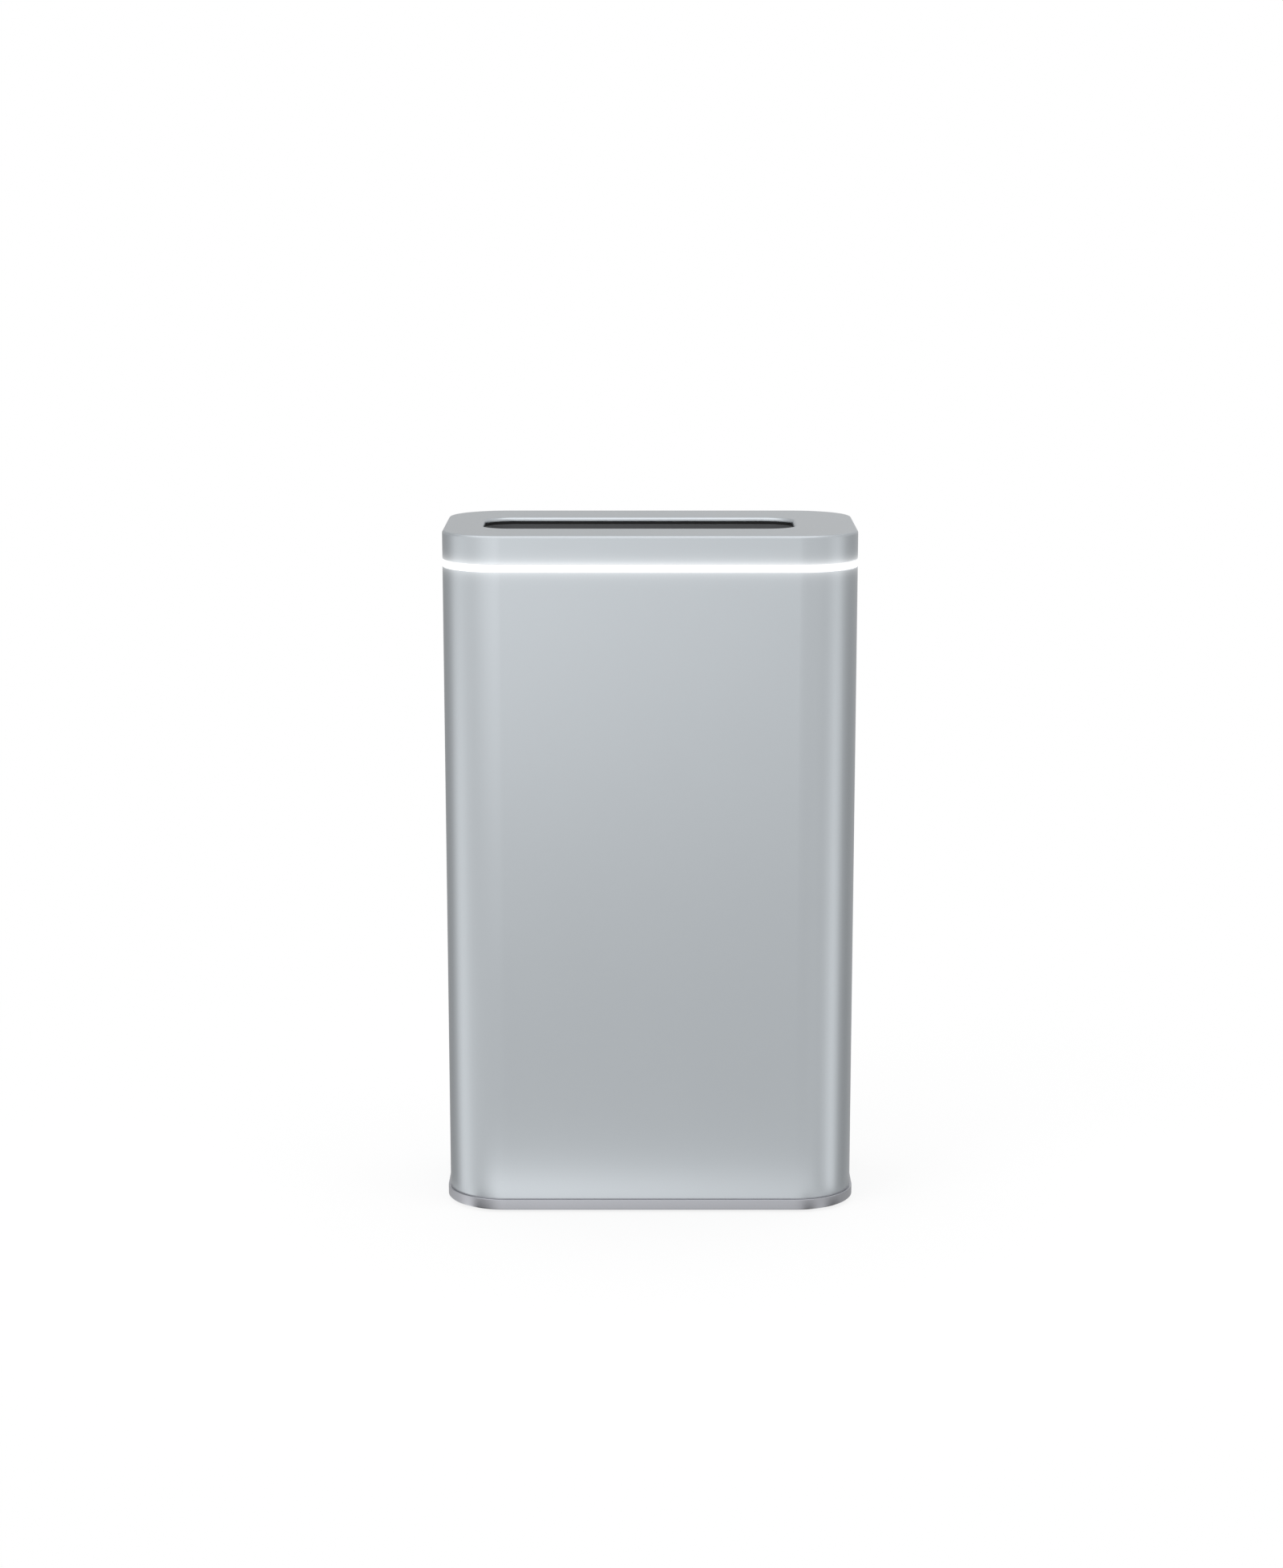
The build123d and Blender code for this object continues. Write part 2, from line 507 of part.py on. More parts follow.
def carriage_pad():
    """Soft cradle that keeps the phone upright on the tray."""
    z = TRAY_Z + TRAY_T
    profile = Polyline((-11, z), (11, z), (11, z + 3.4), (9.6, z + 3.4), (4, z + 1.3), (-4, z + 1.3), (-9.6, z + 3.4),
                       (-11, z + 3.4), close=True)
    half = TRAY_HALF_L - 3
    pad = extrude(Plane.YZ * make_face(profile), half, both=True)
    for k in range(-4, 5):
        pad -= Pos(9 * k, 0, z) * Box(3, 16, 8)
    return Pos(SLOT_X, 0, 0) * pad


def lift_nut():
    """Flanged nut pressed into the nut block from below."""
    nut = rod(SCREW_X, 0, 3.2, TRAY_Z, TRAY_Z + BLOCK_H) + rod(SCREW_X, 0, 4.0, TRAY_Z - 1.6, TRAY_Z)
    return nut - rod(SCREW_X, 0, SCREW_R + RUN, TRAY_Z - 2, TRAY_Z + BLOCK_H)


def lead_screw():
    """Lift screw."""
    shaft = rod(SCREW_X, 0, SCREW_R, Z_FLOOR + 0.2, SCREW_TOP)
    return chamfer(shaft.edges().group_by(Axis.Z)[-1], 0.5)


def lead_gear():
    """Gear on the foot of the screw."""
    gear = Pos(SCREW_X, 0, GEAR_Z) * extrude(gear_face(LIFT_GEAR_TEETH, LIFT_MODULE), GEAR_T)
    return gear - rod(SCREW_X, 0, SCREW_R, GEAR_Z, GEAR_Z + GEAR_T)


def lift_pinion():
    """Pinion on the lift motor's output shaft."""
    half_tooth = 180 / LIFT_PINION_TEETH
    face = gear_face(LIFT_PINION_TEETH, LIFT_MODULE, half_tooth)
    gear = Pos(SCREW_X, MOTOR_Y, GEAR_Z) * extrude(face, GEAR_T)
    return gear + rod(SCREW_X, MOTOR_Y, 1.5, GEAR_Z - 1, SHELF_Z + SHELF_T + 3)


def guide_rod(x, y, r):
    """Polished rod standing in a base boss."""
    return rod(x, y, r, Z_FLOOR, BRACKET_Z + BRACKET_T)


def screw_bushes():
    """Plain bearings at the screw's foot and head."""
    ring = rod(SCREW_X, 0, 3.2, 0, 3.3) - rod(SCREW_X, 0, SCREW_R + RUN, 0, 3.3)
    return [Pos(0, 0, z) * ring for z in (Z_FLOOR, BRACKET_Z - 0.3)]


def upper_bracket():
    """Bracket on the right frame that holds the heads of the screw and the guide rod."""
    x0 = SLOT_X + CHAMBER + FRAME_T
    plate = block((x0, SCREW_X + 5), (-5.5, 14.5), (BRACKET_Z, BRACKET_Z + BRACKET_T))
    plate += block((x0, x0 + 1.6), (-5.5, 14.5), (BRACKET_Z, BRACKET_Z + 12))
    plate -= rod(SCREW_X, 0, 3.2, BRACKET_Z - 1, BRACKET_Z + BRACKET_T)
    return plate - rod(SCREW_X, ROD_Y, ROD_R, BRACKET_Z, BRACKET_Z + BRACKET_T)


def rod_clip():
    """Clip on the left frame that holds the head of the left guide rod."""
    x1 = SLOT_X - CHAMBER - FRAME_T
    clip = block((LEFT_ROD_X - 2.6, x1), (-5, 5), (BRACKET_Z, BRACKET_Z + BRACKET_T))
    clip += block((x1 - 1.4, x1), (-5, 5), (BRACKET_Z, BRACKET_Z + 8))
    return clip - rod(LEFT_ROD_X, 0, LEFT_ROD_R, BRACKET_Z, BRACKET_Z + BRACKET_T)


# ================================================================ electronics and controls
def main_board():
    """Main circuit board with its larger components."""
    board = block((-48, 40), (-30, 30), (MAIN_BOARD_Z, Z_MAIN))
    for x, y, w, d, h in ((-20, 2, 12, 12, 1.4), (10, -4, 9, 9, 1.4), (-34, -8, 6, 10, 2), (24, 8, 10, 6, 1.8)):
        board += Pos(x, y, Z_MAIN) * Box(w, d, h, align=(Align.CENTER, Align.CENTER, Align.MIN))
    return board + rod(-34, 22, 2.5, Z_MAIN, Z_MAIN + 6)


def lamp_driver():
    """Upright daughter board with the lamps' transformer."""
    board = block((-22, 38), (-30.6, -29.0), (Z_MAIN, 23.5))
    board += block((-18, 0), (-29.0, -20.5), (Z_MAIN + 3, 21))
    board += block((5, 15), (-29.0, -23), (Z_MAIN + 3, 17))
    return board + rod_y(26, 14, 2.4, -29, -21.5)


def led_board():
    """Ring-shaped circuit board under the light guide."""
    return band(2.2, 8.5, Z_BOARD, Z_BOARD + 1.2)


def leds():
    """Lights spaced evenly round the board, under the light guide's leg."""
    path = outline(3.0).wire()
    chips = []
    for k in range(LED_COUNT):
        spot, along = path @ (k / LED_COUNT), path % (k / LED_COUNT)
        place = Pos(spot.X, spot.Y, Z_BOARD + 1.2) * Rot(0, 0, degrees(atan2(along.Y, along.X)))
        chips.append(place * Box(2.4, 1.2, 0.8, align=(Align.CENTER, Align.CENTER, Align.MIN)))
    return chips


def led_ribbon():
    """Flat cable from the main board up the front of the sleeve to the light ring's board."""
    thick, z_low = 0.3, Z_MAIN + 0.15
    path = FilletPolyline((-26, z_low), (RIBBON_Y, z_low), (RIBBON_Y, Z_BOARD), radius=2.0)
    return Pos(RIBBON_X - 4, 0, 0) * extrude(Plane.YZ * trace(path, thick), 8)


def dc_inlet():
    """Power inlet: block on the main board, round nose in the sleeve, contact pin."""
    x, z = INLET_X, REAR_Z
    jack = block((x - 5, x + 5), (21.3, 34.8), (Z_MAIN, Z_MAIN + 11.6))
    jack += rod_y(x, z, INLET_R, 34.8, DEPTH / 2 - 0.4)
    jack -= rod_y(x, z, 3.2, DEPTH / 2 - 10.4, DEPTH / 2)
    return jack + rod_y(x, z, 0.95, DEPTH / 2 - 10.6, DEPTH / 2 - 1)


def power_button():
    """Round button: domed face, retaining flange and stem."""
    x, z, face = BUTTON_X, REAR_Z, DEPTH / 2 + 0.5
    cap = rod_y(x, z, BUTTON_R, 34.0, face)
    cap = chamfer(cap.edges().group_by(Axis.Y)[-1], 0.5)
    return cap + rod_y(x, z, BUTTON_R + 0.9, 33.4, 34.6) + rod_y(x, z, 1.5, 29.5, 33.4)


def button_switch():
    """Push switch on the main board behind the button."""
    x = BUTTON_X
    return block((x - 4, x + 4), (22, 27.2), (Z_MAIN, 17.5)) + rod_y(x, REAR_Z, 1.6, 27.2, 28.3)


def phone_sensor():
    """Small board on the left frame whose lamp looks through a hole above the tray."""
    x1 = SLOT_X - CHAMBER - FRAME_T
    board = block((x1 - 1.4, x1), (5.4, 13.8), (98, 112))
    return board + Pos(x1 + 0.8, SENSOR_Y, 105) * Rot(0, 90, 0) * Cylinder(1.5, 1.8)


# ================================================================ fasteners
def base_screws(grow=0.0):
    """Screws up into the frames' columns, with their heads in the floors of the foot seats."""
    return [screw(x, y, Z_BASE + FOOT_SEAT, 10, True, grow) for x, y in COLUMNS]


def deck_screws(grow=0.0):
    """Screws down into the frames' columns, flush with the deck."""
    return [screw(x, y, Z_DECK_TOP, 8, False, grow) for x, y in COLUMNS]


# ================================================================ all pieces
PIECES = {
    "base_plate": base_plate(),
    "foot_pads": foot_pads(),
    "body_sleeve": body_sleeve(),
    "light_ring": light_ring(),
    "top_cap": top_cap(),
    "slot_gasket": slot_gasket(),
    "slot_liner": slot_liner(),
    "shutter_cover": shutter_cover(),
    "left_frame": side_frame(-1),
    "right_frame": side_frame(1),
    "chamber_floor": chamber_floor(),
    "front_pane": pane(-1),
    "rear_pane": pane(1),
    "front_reflector": reflector(-1),
    "rear_reflector": reflector(1),
    "front_lamp": lamp(-1),
    "rear_lamp": lamp(1),
    "lamp_caps": lamp_caps(),
    "lamp_clips": lamp_clips(),
    "shutter_deck": shutter_deck(),
    "front_shutter": shutter(-1),
    "rear_shutter": shutter(1),
    "shutter_pinion": shutter_pinion(),
    "shutter_motor": gear_motor(DOOR_X, 0, DOOR_BRACKET_Z, up=True),
    "shutter_bracket": shutter_bracket(),
    "door_switch": door_switch(),
    "carriage": carriage(),
    "carriage_pad": carriage_pad(),
    "lift_nut": lift_nut(),
    "lead_screw": lead_screw(),
    "lead_gear": lead_gear(),
    "lift_pinion": lift_pinion(),
    "lift_motor": gear_motor(SCREW_X, MOTOR_Y, SHELF_Z + SHELF_T, up=False),
    "left_guide_rod": guide_rod(LEFT_ROD_X, 0, LEFT_ROD_R),
    "right_guide_rod": guide_rod(SCREW_X, ROD_Y, ROD_R),
    "screw_bushes": screw_bushes(),
    "upper_bracket": upper_bracket(),
    "rod_clip": rod_clip(),
    "main_board": main_board(),
    "lamp_driver": lamp_driver(),
    "led_board": led_board(),
    "leds": leds(),
    "led_ribbon": led_ribbon(),
    "dc_inlet": dc_inlet(),
    "power_button": power_button(),
    "button_switch": button_switch(),
    "phone_sensor": phone_sensor(),
    "base_screws": base_screws(),
    "deck_screws": deck_screws(),
}

os.makedirs("parts", exist_ok=True)
for name, piece in PIECES.items():
    shape = Compound(children=list(piece)) if isinstance(piece, list) else piece
    export_step(shape, f"parts/{name}.step")
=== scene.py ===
"""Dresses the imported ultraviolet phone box: shells, light ring, lamps, lift, shutters and electronics."""

import json
import logging
import math
from collections.abc import Sequence
from dataclasses import dataclass, field, replace
from enum import Enum
from functools import cache

import bmesh
import bpy
from mathutils import Matrix, Vector


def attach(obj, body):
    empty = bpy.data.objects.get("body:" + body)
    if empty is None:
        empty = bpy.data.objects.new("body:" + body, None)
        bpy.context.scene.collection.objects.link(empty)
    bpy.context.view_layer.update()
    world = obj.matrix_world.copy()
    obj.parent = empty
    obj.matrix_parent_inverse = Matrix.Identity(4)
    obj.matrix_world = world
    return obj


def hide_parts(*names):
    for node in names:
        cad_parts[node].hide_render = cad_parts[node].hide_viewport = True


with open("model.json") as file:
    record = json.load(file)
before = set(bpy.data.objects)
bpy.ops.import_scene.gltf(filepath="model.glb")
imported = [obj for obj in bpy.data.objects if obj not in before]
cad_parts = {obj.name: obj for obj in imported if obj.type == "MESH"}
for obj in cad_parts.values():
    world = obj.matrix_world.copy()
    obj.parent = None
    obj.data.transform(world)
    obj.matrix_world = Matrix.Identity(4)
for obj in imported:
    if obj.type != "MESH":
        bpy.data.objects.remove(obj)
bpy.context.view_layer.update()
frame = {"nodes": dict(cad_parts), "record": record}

LOG = logging.getLogger("phone_box")
MM = 0.001
CORNER_STEPS = 28  # segments in each corner of a plan
EDGE_STEPS = 2  # segments in a broken edge
SHARP_ANGLE = math.radians(32.0)  # edges beyond it are shaded sharp
FACE_WEIGHT = 80  # how much the larger faces set the normals
Object = bpy.types.Object
Tree = bpy.types.NodeTree
Node = bpy.types.Node
Socket = bpy.types.NodeSocket
Pair = tuple[float, float]
Triple = tuple[float, float, float]
Colour = Triple


def object_from(name: str, mesh: bpy.types.Mesh) -> Object:
    """Links a mesh into the scene as an object at the origin.

    Args:
        name: Name of the object.
        mesh: Mesh with its place in its vertices.

    Returns:
        The linked object.
    """
    piece = bpy.data.objects.new(name, mesh)
    bpy.context.scene.collection.objects.link(piece)
    return piece


def object_of(name: str, shell: bmesh.types.BMesh, place: Matrix | None = None) -> Object:
    """Turns a shell into an object at the origin, and frees the shell.

    Args:
        name: Name of the object.
        shell: Shell of the form.
        place: Takes the form to its place, where it isn't there yet.

    Returns:
        The linked object.
    """
    mesh = bpy.data.meshes.new(name)
    shell.to_mesh(mesh)
    shell.free()
    if place is not None:
        mesh.transform(place)
    return object_from(name, mesh)


def shade(piece: Object) -> Object:
    """Shades a piece smoothly, keeps its sharp edges, and lets its large faces set the normals.

    Args:
        piece: Object to shade.

    Returns:
        The same object.
    """
    piece.data.shade_smooth()
    piece.data.set_sharp_from_angle(angle=SHARP_ANGLE)
    steady = piece.modifiers.new("steady_normals", "WEIGHTED_NORMAL")
    steady.keep_sharp = True
    steady.weight = FACE_WEIGHT
    return piece


def settle(piece: Object) -> Object:
    """Replaces a piece's mesh by its evaluated result and drops its modifiers.

    Args:
        piece: Object with live modifiers.

    Returns:
        The same object with a plain mesh.
    """
    graph = bpy.context.evaluated_depsgraph_get()
    graph.update()
    made = bpy.data.meshes.new_from_object(piece.evaluated_get(graph), depsgraph=graph)
    piece.modifiers.clear()
    piece.data = made
    return piece


def joined(name: str, pieces: list[Object]) -> Object:
    """Joins closed shells of one piece into one mesh.

    Args:
        name: Name of the joined object.
        pieces: Objects at the origin; they are removed.

    Returns:
        The joined object.
    """
    shell = bmesh.new()
    for piece in pieces:
        shell.from_mesh(piece.data)
        bpy.data.objects.remove(piece)
    return object_of(name, shell)


class Fusing(Enum):
    """How a second solid acts on the first."""

    CUT = "DIFFERENCE"
    ADD = "UNION"


def fuse(body: Object, tools: list[Object], how: Fusing) -> Object:
    """Cuts solids out of a body, or adds them to it.

    Args:
        body: Closed solid to change.
        tools: Closed solids, which are removed afterwards.
        how: Whether they are cut away or added.

    Returns:
        The changed body, with a plain mesh.
    """
    for tool in tools:
        step = body.modifiers.new("fuse", "BOOLEAN")
        step.object, step.operation, step.solver = tool, how.value, "EXACT"
    settle(body)
    for tool in tools:
        bpy.data.objects.remove(tool)
    return body


# ---------------------------------------------------------------- forms
@dataclass(frozen=True)
class Plan:
    """Rounded rectangle seen from above, in millimetres."""

    length: float
    width: float
    corner: float
    centre_x: float = 0.0
    least_corner: float = 0.02

    def ring(self, inset: float, z: float) -> list[Vector]:
        """Walks round the outline, counter-clockwise from above.

        Args:
            inset: Distance that the outline is moved inwards.
            z: Height of the ring.

        Returns:
            Points in metres.
        """
        half_x, half_y = self.length / 2 - inset, self.width / 2 - inset
        radius = max(self.corner - inset, self.least_corner)
        points = []
        for turn, (side_x, side_y) in enumerate(((1, 1), (-1, 1), (-1, -1), (1, -1))):
            for step in range(CORNER_STEPS + 1):
                angle = math.radians(90 * (turn + step / CORNER_STEPS))
                x = self.centre_x + side_x * (half_x - radius) + radius * math.cos(angle)
                y = side_y * (half_y - radius) + radius * math.sin(angle)
                points.append(Vector((x, y, z)) * MM)
        return points


@dataclass(frozen=True)
class Corner:
    """Corner of a wall's section: distance in from its plan, height, rounding, and the plan it follows."""

    inset: float
    z: float
    radius: float = 0.0
    plan: int = 0


def rounded_section(
    corners: list[Corner], closed: bool, steps: int = 5
) -> list[tuple[int, float, float]]:
    """Rounds the corners of a wall's section.

    Args:
        corners: Corners in order, going up on the outside.
        closed: Whether the last corner joins the first.
        steps: Segments in each rounding.

    Returns:
        Plan number, inset and height of each point.
    """
    far = 200.0  # keeps the second plan's insets beyond the first's
    flat = [Vector((corner.inset + far * corner.plan, corner.z)) for corner in corners]
    points, count = [], len(corners)
    for i, corner in enumerate(corners):
        if corner.radius <= 0 or (not closed and i in (0, count - 1)):
            points.append((corner.plan, corner.inset, corner.z))
            continue
        back = (flat[i - 1] - flat[i]).normalized()
        on = (flat[(i + 1) % count] - flat[i]).normalized()
        half = back.angle(on) / 2
        centre = flat[i] + (back + on).normalized() * (corner.radius / math.sin(half))
        start = flat[i] + back * (corner.radius / math.tan(half)) - centre
        end = flat[i] + on * (corner.radius / math.tan(half)) - centre
        turn = start.angle_signed(end)
        for step in range(steps + 1):
            angle = -turn * step / steps
            across = start.x * math.cos(angle) - start.y * math.sin(angle)
            up = start.x * math.sin(angle) + start.y * math.cos(angle)
            spot = centre + Vector((across, up))
            points.append((corner.plan, spot.x - far * corner.plan, spot.y))
    return points


def wall(
    name: str, plans: list[Plan], corners: list[Corner], closed: bool = True, steps: int = 5
) -> Object:
    """Sweeps a section round one or two plan outlines.

    Args:
        name: Name of the piece.
        plans: Outlines that the corners refer to by number.
        corners: Section of the wall.
        closed: True for a ring-shaped solid; False for one whose ends are closed by flat faces.
        steps: Segments in each rounding of the section.

    Returns:
        A closed solid.
    """
    section = rounded_section(corners, closed, steps)
    shell = bmesh.new()
    rings = [[shell.verts.new(point) for point in plans[n].ring(inset, z)] for n, inset, z in section]
    count = len(rings[0])
    pairs = list(zip(rings, rings[1:])) + ([(rings[-1], rings[0])] if closed else [])
    for low, high in pairs:
        for j in range(count):
            k = (j + 1) % count
            shell.faces.new((low[j], low[k], high[k], high[j]))
    if not closed:
        shell.faces.new(list(reversed(rings[0])))
        shell.faces.new(rings[-1])
    return object_of(name, shell)


class Along(Enum):
    """Axis that a turned form lies along, by its turn about X in degrees from upright."""

    Y = -90.0
    Z = 0.0

    def matrix(self) -> Matrix:
        """Gives the turn that takes a form from its upright place to this axis."""
        return Matrix.Rotation(math.radians(self.value), 4, "X")


def turned(
    name: str, section: Sequence[Pair], at: Triple, along: Along = Along.Z, steps: int = 48
) -> Object:
    """Turns a section round an axis, as on a lathe.

    Args:
        name: Name of the piece.
        section: Radius and height of each point, from one end of the axis to the other, in millimetres.
        at: Place of the section's zero height, in millimetres.
        along: Axis of the piece.
        steps: Segments round the axis.

    Returns:
        A closed solid.
    """
    shell = bmesh.new()
    angles = [2 * math.pi * step / steps for step in range(steps)]
    circle = [(math.cos(angle), math.sin(angle)) for angle in angles]
    rings = []
    for radius, height in section:
        spots = circle if radius > 0 else [(0.0, 0.0)]
        rings.append([shell.verts.new((radius * x, radius * y, height)) for x, y in spots])
    for low, high in zip(rings, rings[1:]):
        for j in range(steps):
            k = (j + 1) % steps
            if len(low) == 1 and len(high) > 1:
                shell.faces.new((low[0], high[k], high[j]))
            elif len(high) == 1 and len(low) > 1:
                shell.faces.new((low[j], low[k], high[0]))
            elif len(low) > 1:
                shell.faces.new((low[j], low[k], high[k], high[j]))
    for ring, end in ((rings[0], True), (rings[-1], False)):
        if len(ring) > 1:
            shell.faces.new(list(reversed(ring)) if end else ring)
    bmesh.ops.recalc_face_normals(shell, faces=shell.faces)
    return object_of(name, shell, Matrix.Scale(MM, 4) @ Matrix.Translation(Vector(at)) @ along.matrix())


def block(name: str, low: Triple, high: Triple, edge: float = 0.0) -> Object:
    """Makes a block with rounded edges.

    Args:
        name: Name of the piece.
        low: Lowest corner in millimetres.
        high: Highest corner in millimetres.
        edge: Rounding of its edges in millimetres.

    Returns:
        A closed solid.
    """
    shell = bmesh.new()
    bmesh.ops.create_cube(shell, size=1.0)
    size = [b - a for a, b in zip(low, high)]
    centre = [(a + b) / 2 for a, b in zip(low, high)]
    for vert in shell.verts:
        vert.co = Vector([(c + v * s) * MM for c, v, s in zip(centre, vert.co, size)])
    if edge > 0:
        edges, offset = list(shell.edges), edge * MM
        bmesh.ops.bevel(shell, geom=edges, offset=offset, segments=EDGE_STEPS, profile=0.5, affect="EDGES")
    return object_of(name, shell)


# ---------------------------------------------------------------- shader effects
class Wiring:
    """Adds nodes to a tree and joins them."""

    def __init__(self, tree: Tree) -> None:
        """Takes the tree to wire."""
        self.tree = tree

    def node(self, kind: str, **settings: object) -> Node:
        """Adds a node.

        Args:
            kind: Blender's name of the node type.
            settings: Properties of the node; those that name an input socket set its value or link to it.

        Returns:
            The node.
        """
        made = self.tree.nodes.new(kind)
        for key, value in settings.items():
            if hasattr(made, key):
                setattr(made, key, value)
            elif isinstance(value, Socket):
                self.join(value, made.inputs[key.replace("_", " ")])
            else:
                made.inputs[key.replace("_", " ")].default_value = value
        return made

    def join(self, source: Socket, target: Socket) -> None:
        """Links an output to an input."""
        self.tree.links.new(source, target)

    def math(self, operation: str, *values: object) -> Socket:
        """Adds a Math node.

        Args:
            operation: What it works out.
            values: Its inputs, as numbers or sockets.

        Returns:
            Its output.
        """
        made = self.node("ShaderNodeMath", operation=operation)
        for socket, value in zip(made.inputs, values):
            if isinstance(value, (int, float)):
                socket.default_value = value
            else:
                self.join(value, socket)
        return made.outputs[0]

    def mixed(self, blend: str, share: object, first: object, second: object) -> Socket:
        """Mixes two colours.

        Args:
            blend: Kind of mixing.
            share: Share of the second colour, as a number or a socket.
            first: First colour, as a colour or a socket.
            second: Second colour, as a colour or a socket.

        Returns:
            The mixed colour.
        """
        mix = self.node("ShaderNodeMix", data_type="RGBA", blend_type=blend)
        for place, value in ((0, share), (6, first), (7, second)):
            if isinstance(value, Socket):
                self.join(value, mix.inputs[place])
            else:
                mix.inputs[place].default_value = (*value, 1.0) if place else value
        return mix.outputs[2]


class EffectGroups:
    """Shared shader effects, each a node group with named sockets that is built once."""

    @staticmethod
    def _start(
        name: str, inputs: dict[str, tuple[str, object]], outputs: dict[str, str]
    ) -> tuple[Wiring, Node, Node]:
        """Opens a new group with its named sockets.

        Args:
            name: Name of the group.
            inputs: Socket kind and default of each input.
            outputs: Socket kind of each output.

        Returns:
            The wiring, the input node and the output node.
        """
        tree = bpy.data.node_groups.new(name, "ShaderNodeTree")
        for label, (kind, value) in inputs.items():
            socket = tree.interface.new_socket(name=label, in_out="INPUT", socket_type=kind)
            if value is not None:
                socket.default_value = value
        for label, kind in outputs.items():
            tree.interface.new_socket(name=label, in_out="OUTPUT", socket_type=kind)
        wiring = Wiring(tree)
        return wiring, wiring.node("NodeGroupInput"), wiring.node("NodeGroupOutput")

    @staticmethod
    @cache
    def fine_grain() -> Tree:
        """Fine surface structure: a grain of a given size, as a mask and as a height.

        Returns:
            The group.
        """
        wiring, start, end = EffectGroups._start(
            "fine_grain",
            {
                "Place": ("NodeSocketVector", None),
                "Grain per Metre": ("NodeSocketFloat", 4000.0),
                "Stretch": ("NodeSocketVector", (1.0, 1.0, 1.0)),
            },
            {"Mask": "NodeSocketFloat", "Height": "NodeSocketFloat"},
        )
        stretched = wiring.node("ShaderNodeVectorMath", operation="MULTIPLY")
        wiring.join(start.outputs["Place"], stretched.inputs[0])
        wiring.join(start.outputs["Stretch"], stretched.inputs[1])
        noise = wiring.node("ShaderNodeTexNoise", Detail=2.0, Roughness=0.55)
        wiring.join(stretched.outputs[0], noise.inputs["Vector"])
        wiring.join(start.outputs["Grain per Metre"], noise.inputs["Scale"])
        wiring.join(noise.outputs["Fac"], end.inputs["Mask"])
        wiring.join(noise.outputs["Fac"], end.inputs["Height"])
        return wiring.tree

    @staticmethod
    @cache
    def soft_mottle() -> Tree:
        """Slow change over a surface, about one, for colour and light.

        Returns:
            The group.
        """
        wiring, start, end = EffectGroups._start(
            "soft_mottle",
            {
                "Place": ("NodeSocketVector", None),
                "Patches per Metre": ("NodeSocketFloat", 40.0),
                "Amount": ("NodeSocketFloat", 0.05),
            },
            {"Factor": "NodeSocketFloat"},
        )
        noise = wiring.node("ShaderNodeTexNoise", Detail=3.0, Roughness=0.6)
        wiring.join(start.outputs["Place"], noise.inputs["Vector"])
        wiring.join(start.outputs["Patches per Metre"], noise.inputs["Scale"])
        centred = wiring.math("SUBTRACT", noise.outputs["Fac"], 0.5)
        scaled = wiring.math("MULTIPLY", centred, start.outputs["Amount"])
        wiring.join(wiring.math("MULTIPLY_ADD", scaled, 2.0, 1.0), end.inputs["Factor"])
        return wiring.tree

    @staticmethod
    @cache
    def ring_halo() -> Tree:
        """Soft glow that fades above and below a lit level.

        Returns:
            The group.
        """
        wiring, start, end = EffectGroups._start(
            "ring_halo",
            {
                "Place": ("NodeSocketVector", None),
                "Level": ("NodeSocketFloat", 0.19725),
                "Half Height": ("NodeSocketFloat", 0.00125),
                "Reach": ("NodeSocketFloat", 0.001),
            },
            {"Glow": "NodeSocketFloat"},
        )
        parts = wiring.node("ShaderNodeSeparateXYZ")
        wiring.join(start.outputs["Place"], parts.inputs[0])
        above = wiring.math("SUBTRACT", parts.outputs["Z"], start.outputs["Level"])
        outside = wiring.math("SUBTRACT", wiring.math("ABSOLUTE", above), start.outputs["Half Height"])
        beyond = wiring.math("MAXIMUM", outside, 0.0)
        fading = wiring.math("DIVIDE", beyond, start.outputs["Reach"])
        wiring.join(wiring.math("EXPONENT", wiring.math("MULTIPLY", fading, -1.0)), end.inputs["Glow"])
        return wiring.tree


# ---------------------------------------------------------------- finishes
@dataclass(frozen=True)
class Draft:
    """Material that is being wired: its nodes, its shader, and the place on the surface."""

    wiring: Wiring
    shader: Node
    place: Socket

    def effect(self, group: Tree, **values: object) -> Node:
        """Places a shared effect with its values, which are named by the group's inputs."""
        return self.wiring.node("ShaderNodeGroup", node_tree=group, Place=self.place, **values)

    def feed(self, name: str, source: Socket) -> None:
        """Joins a value that changes over the surface to the shader."""
        self.wiring.join(source, self.shader.inputs[name])

    def fix(self, **values: object) -> None:
        """Sets plain values of the shader, by the names of its inputs."""
        for name, value in values.items():
            self.shader.inputs[name.replace("_", " ")].default_value = value

    def mottled(self, colour: Colour, amount: float) -> Socket:
        """Wires a colour that changes slowly over the surface.

        Args:
            colour: Colour.
            amount: How far it changes.

        Returns:
            The changing colour.
        """
        mottle = self.effect(EffectGroups.soft_mottle(), Amount=amount)
        grey = self.wiring.node("ShaderNodeCombineColor")
        for channel in grey.inputs:
            self.wiring.join(mottle.outputs["Factor"], channel)
        return self.wiring.mixed("MULTIPLY", 1.0, colour, grey.outputs[0])


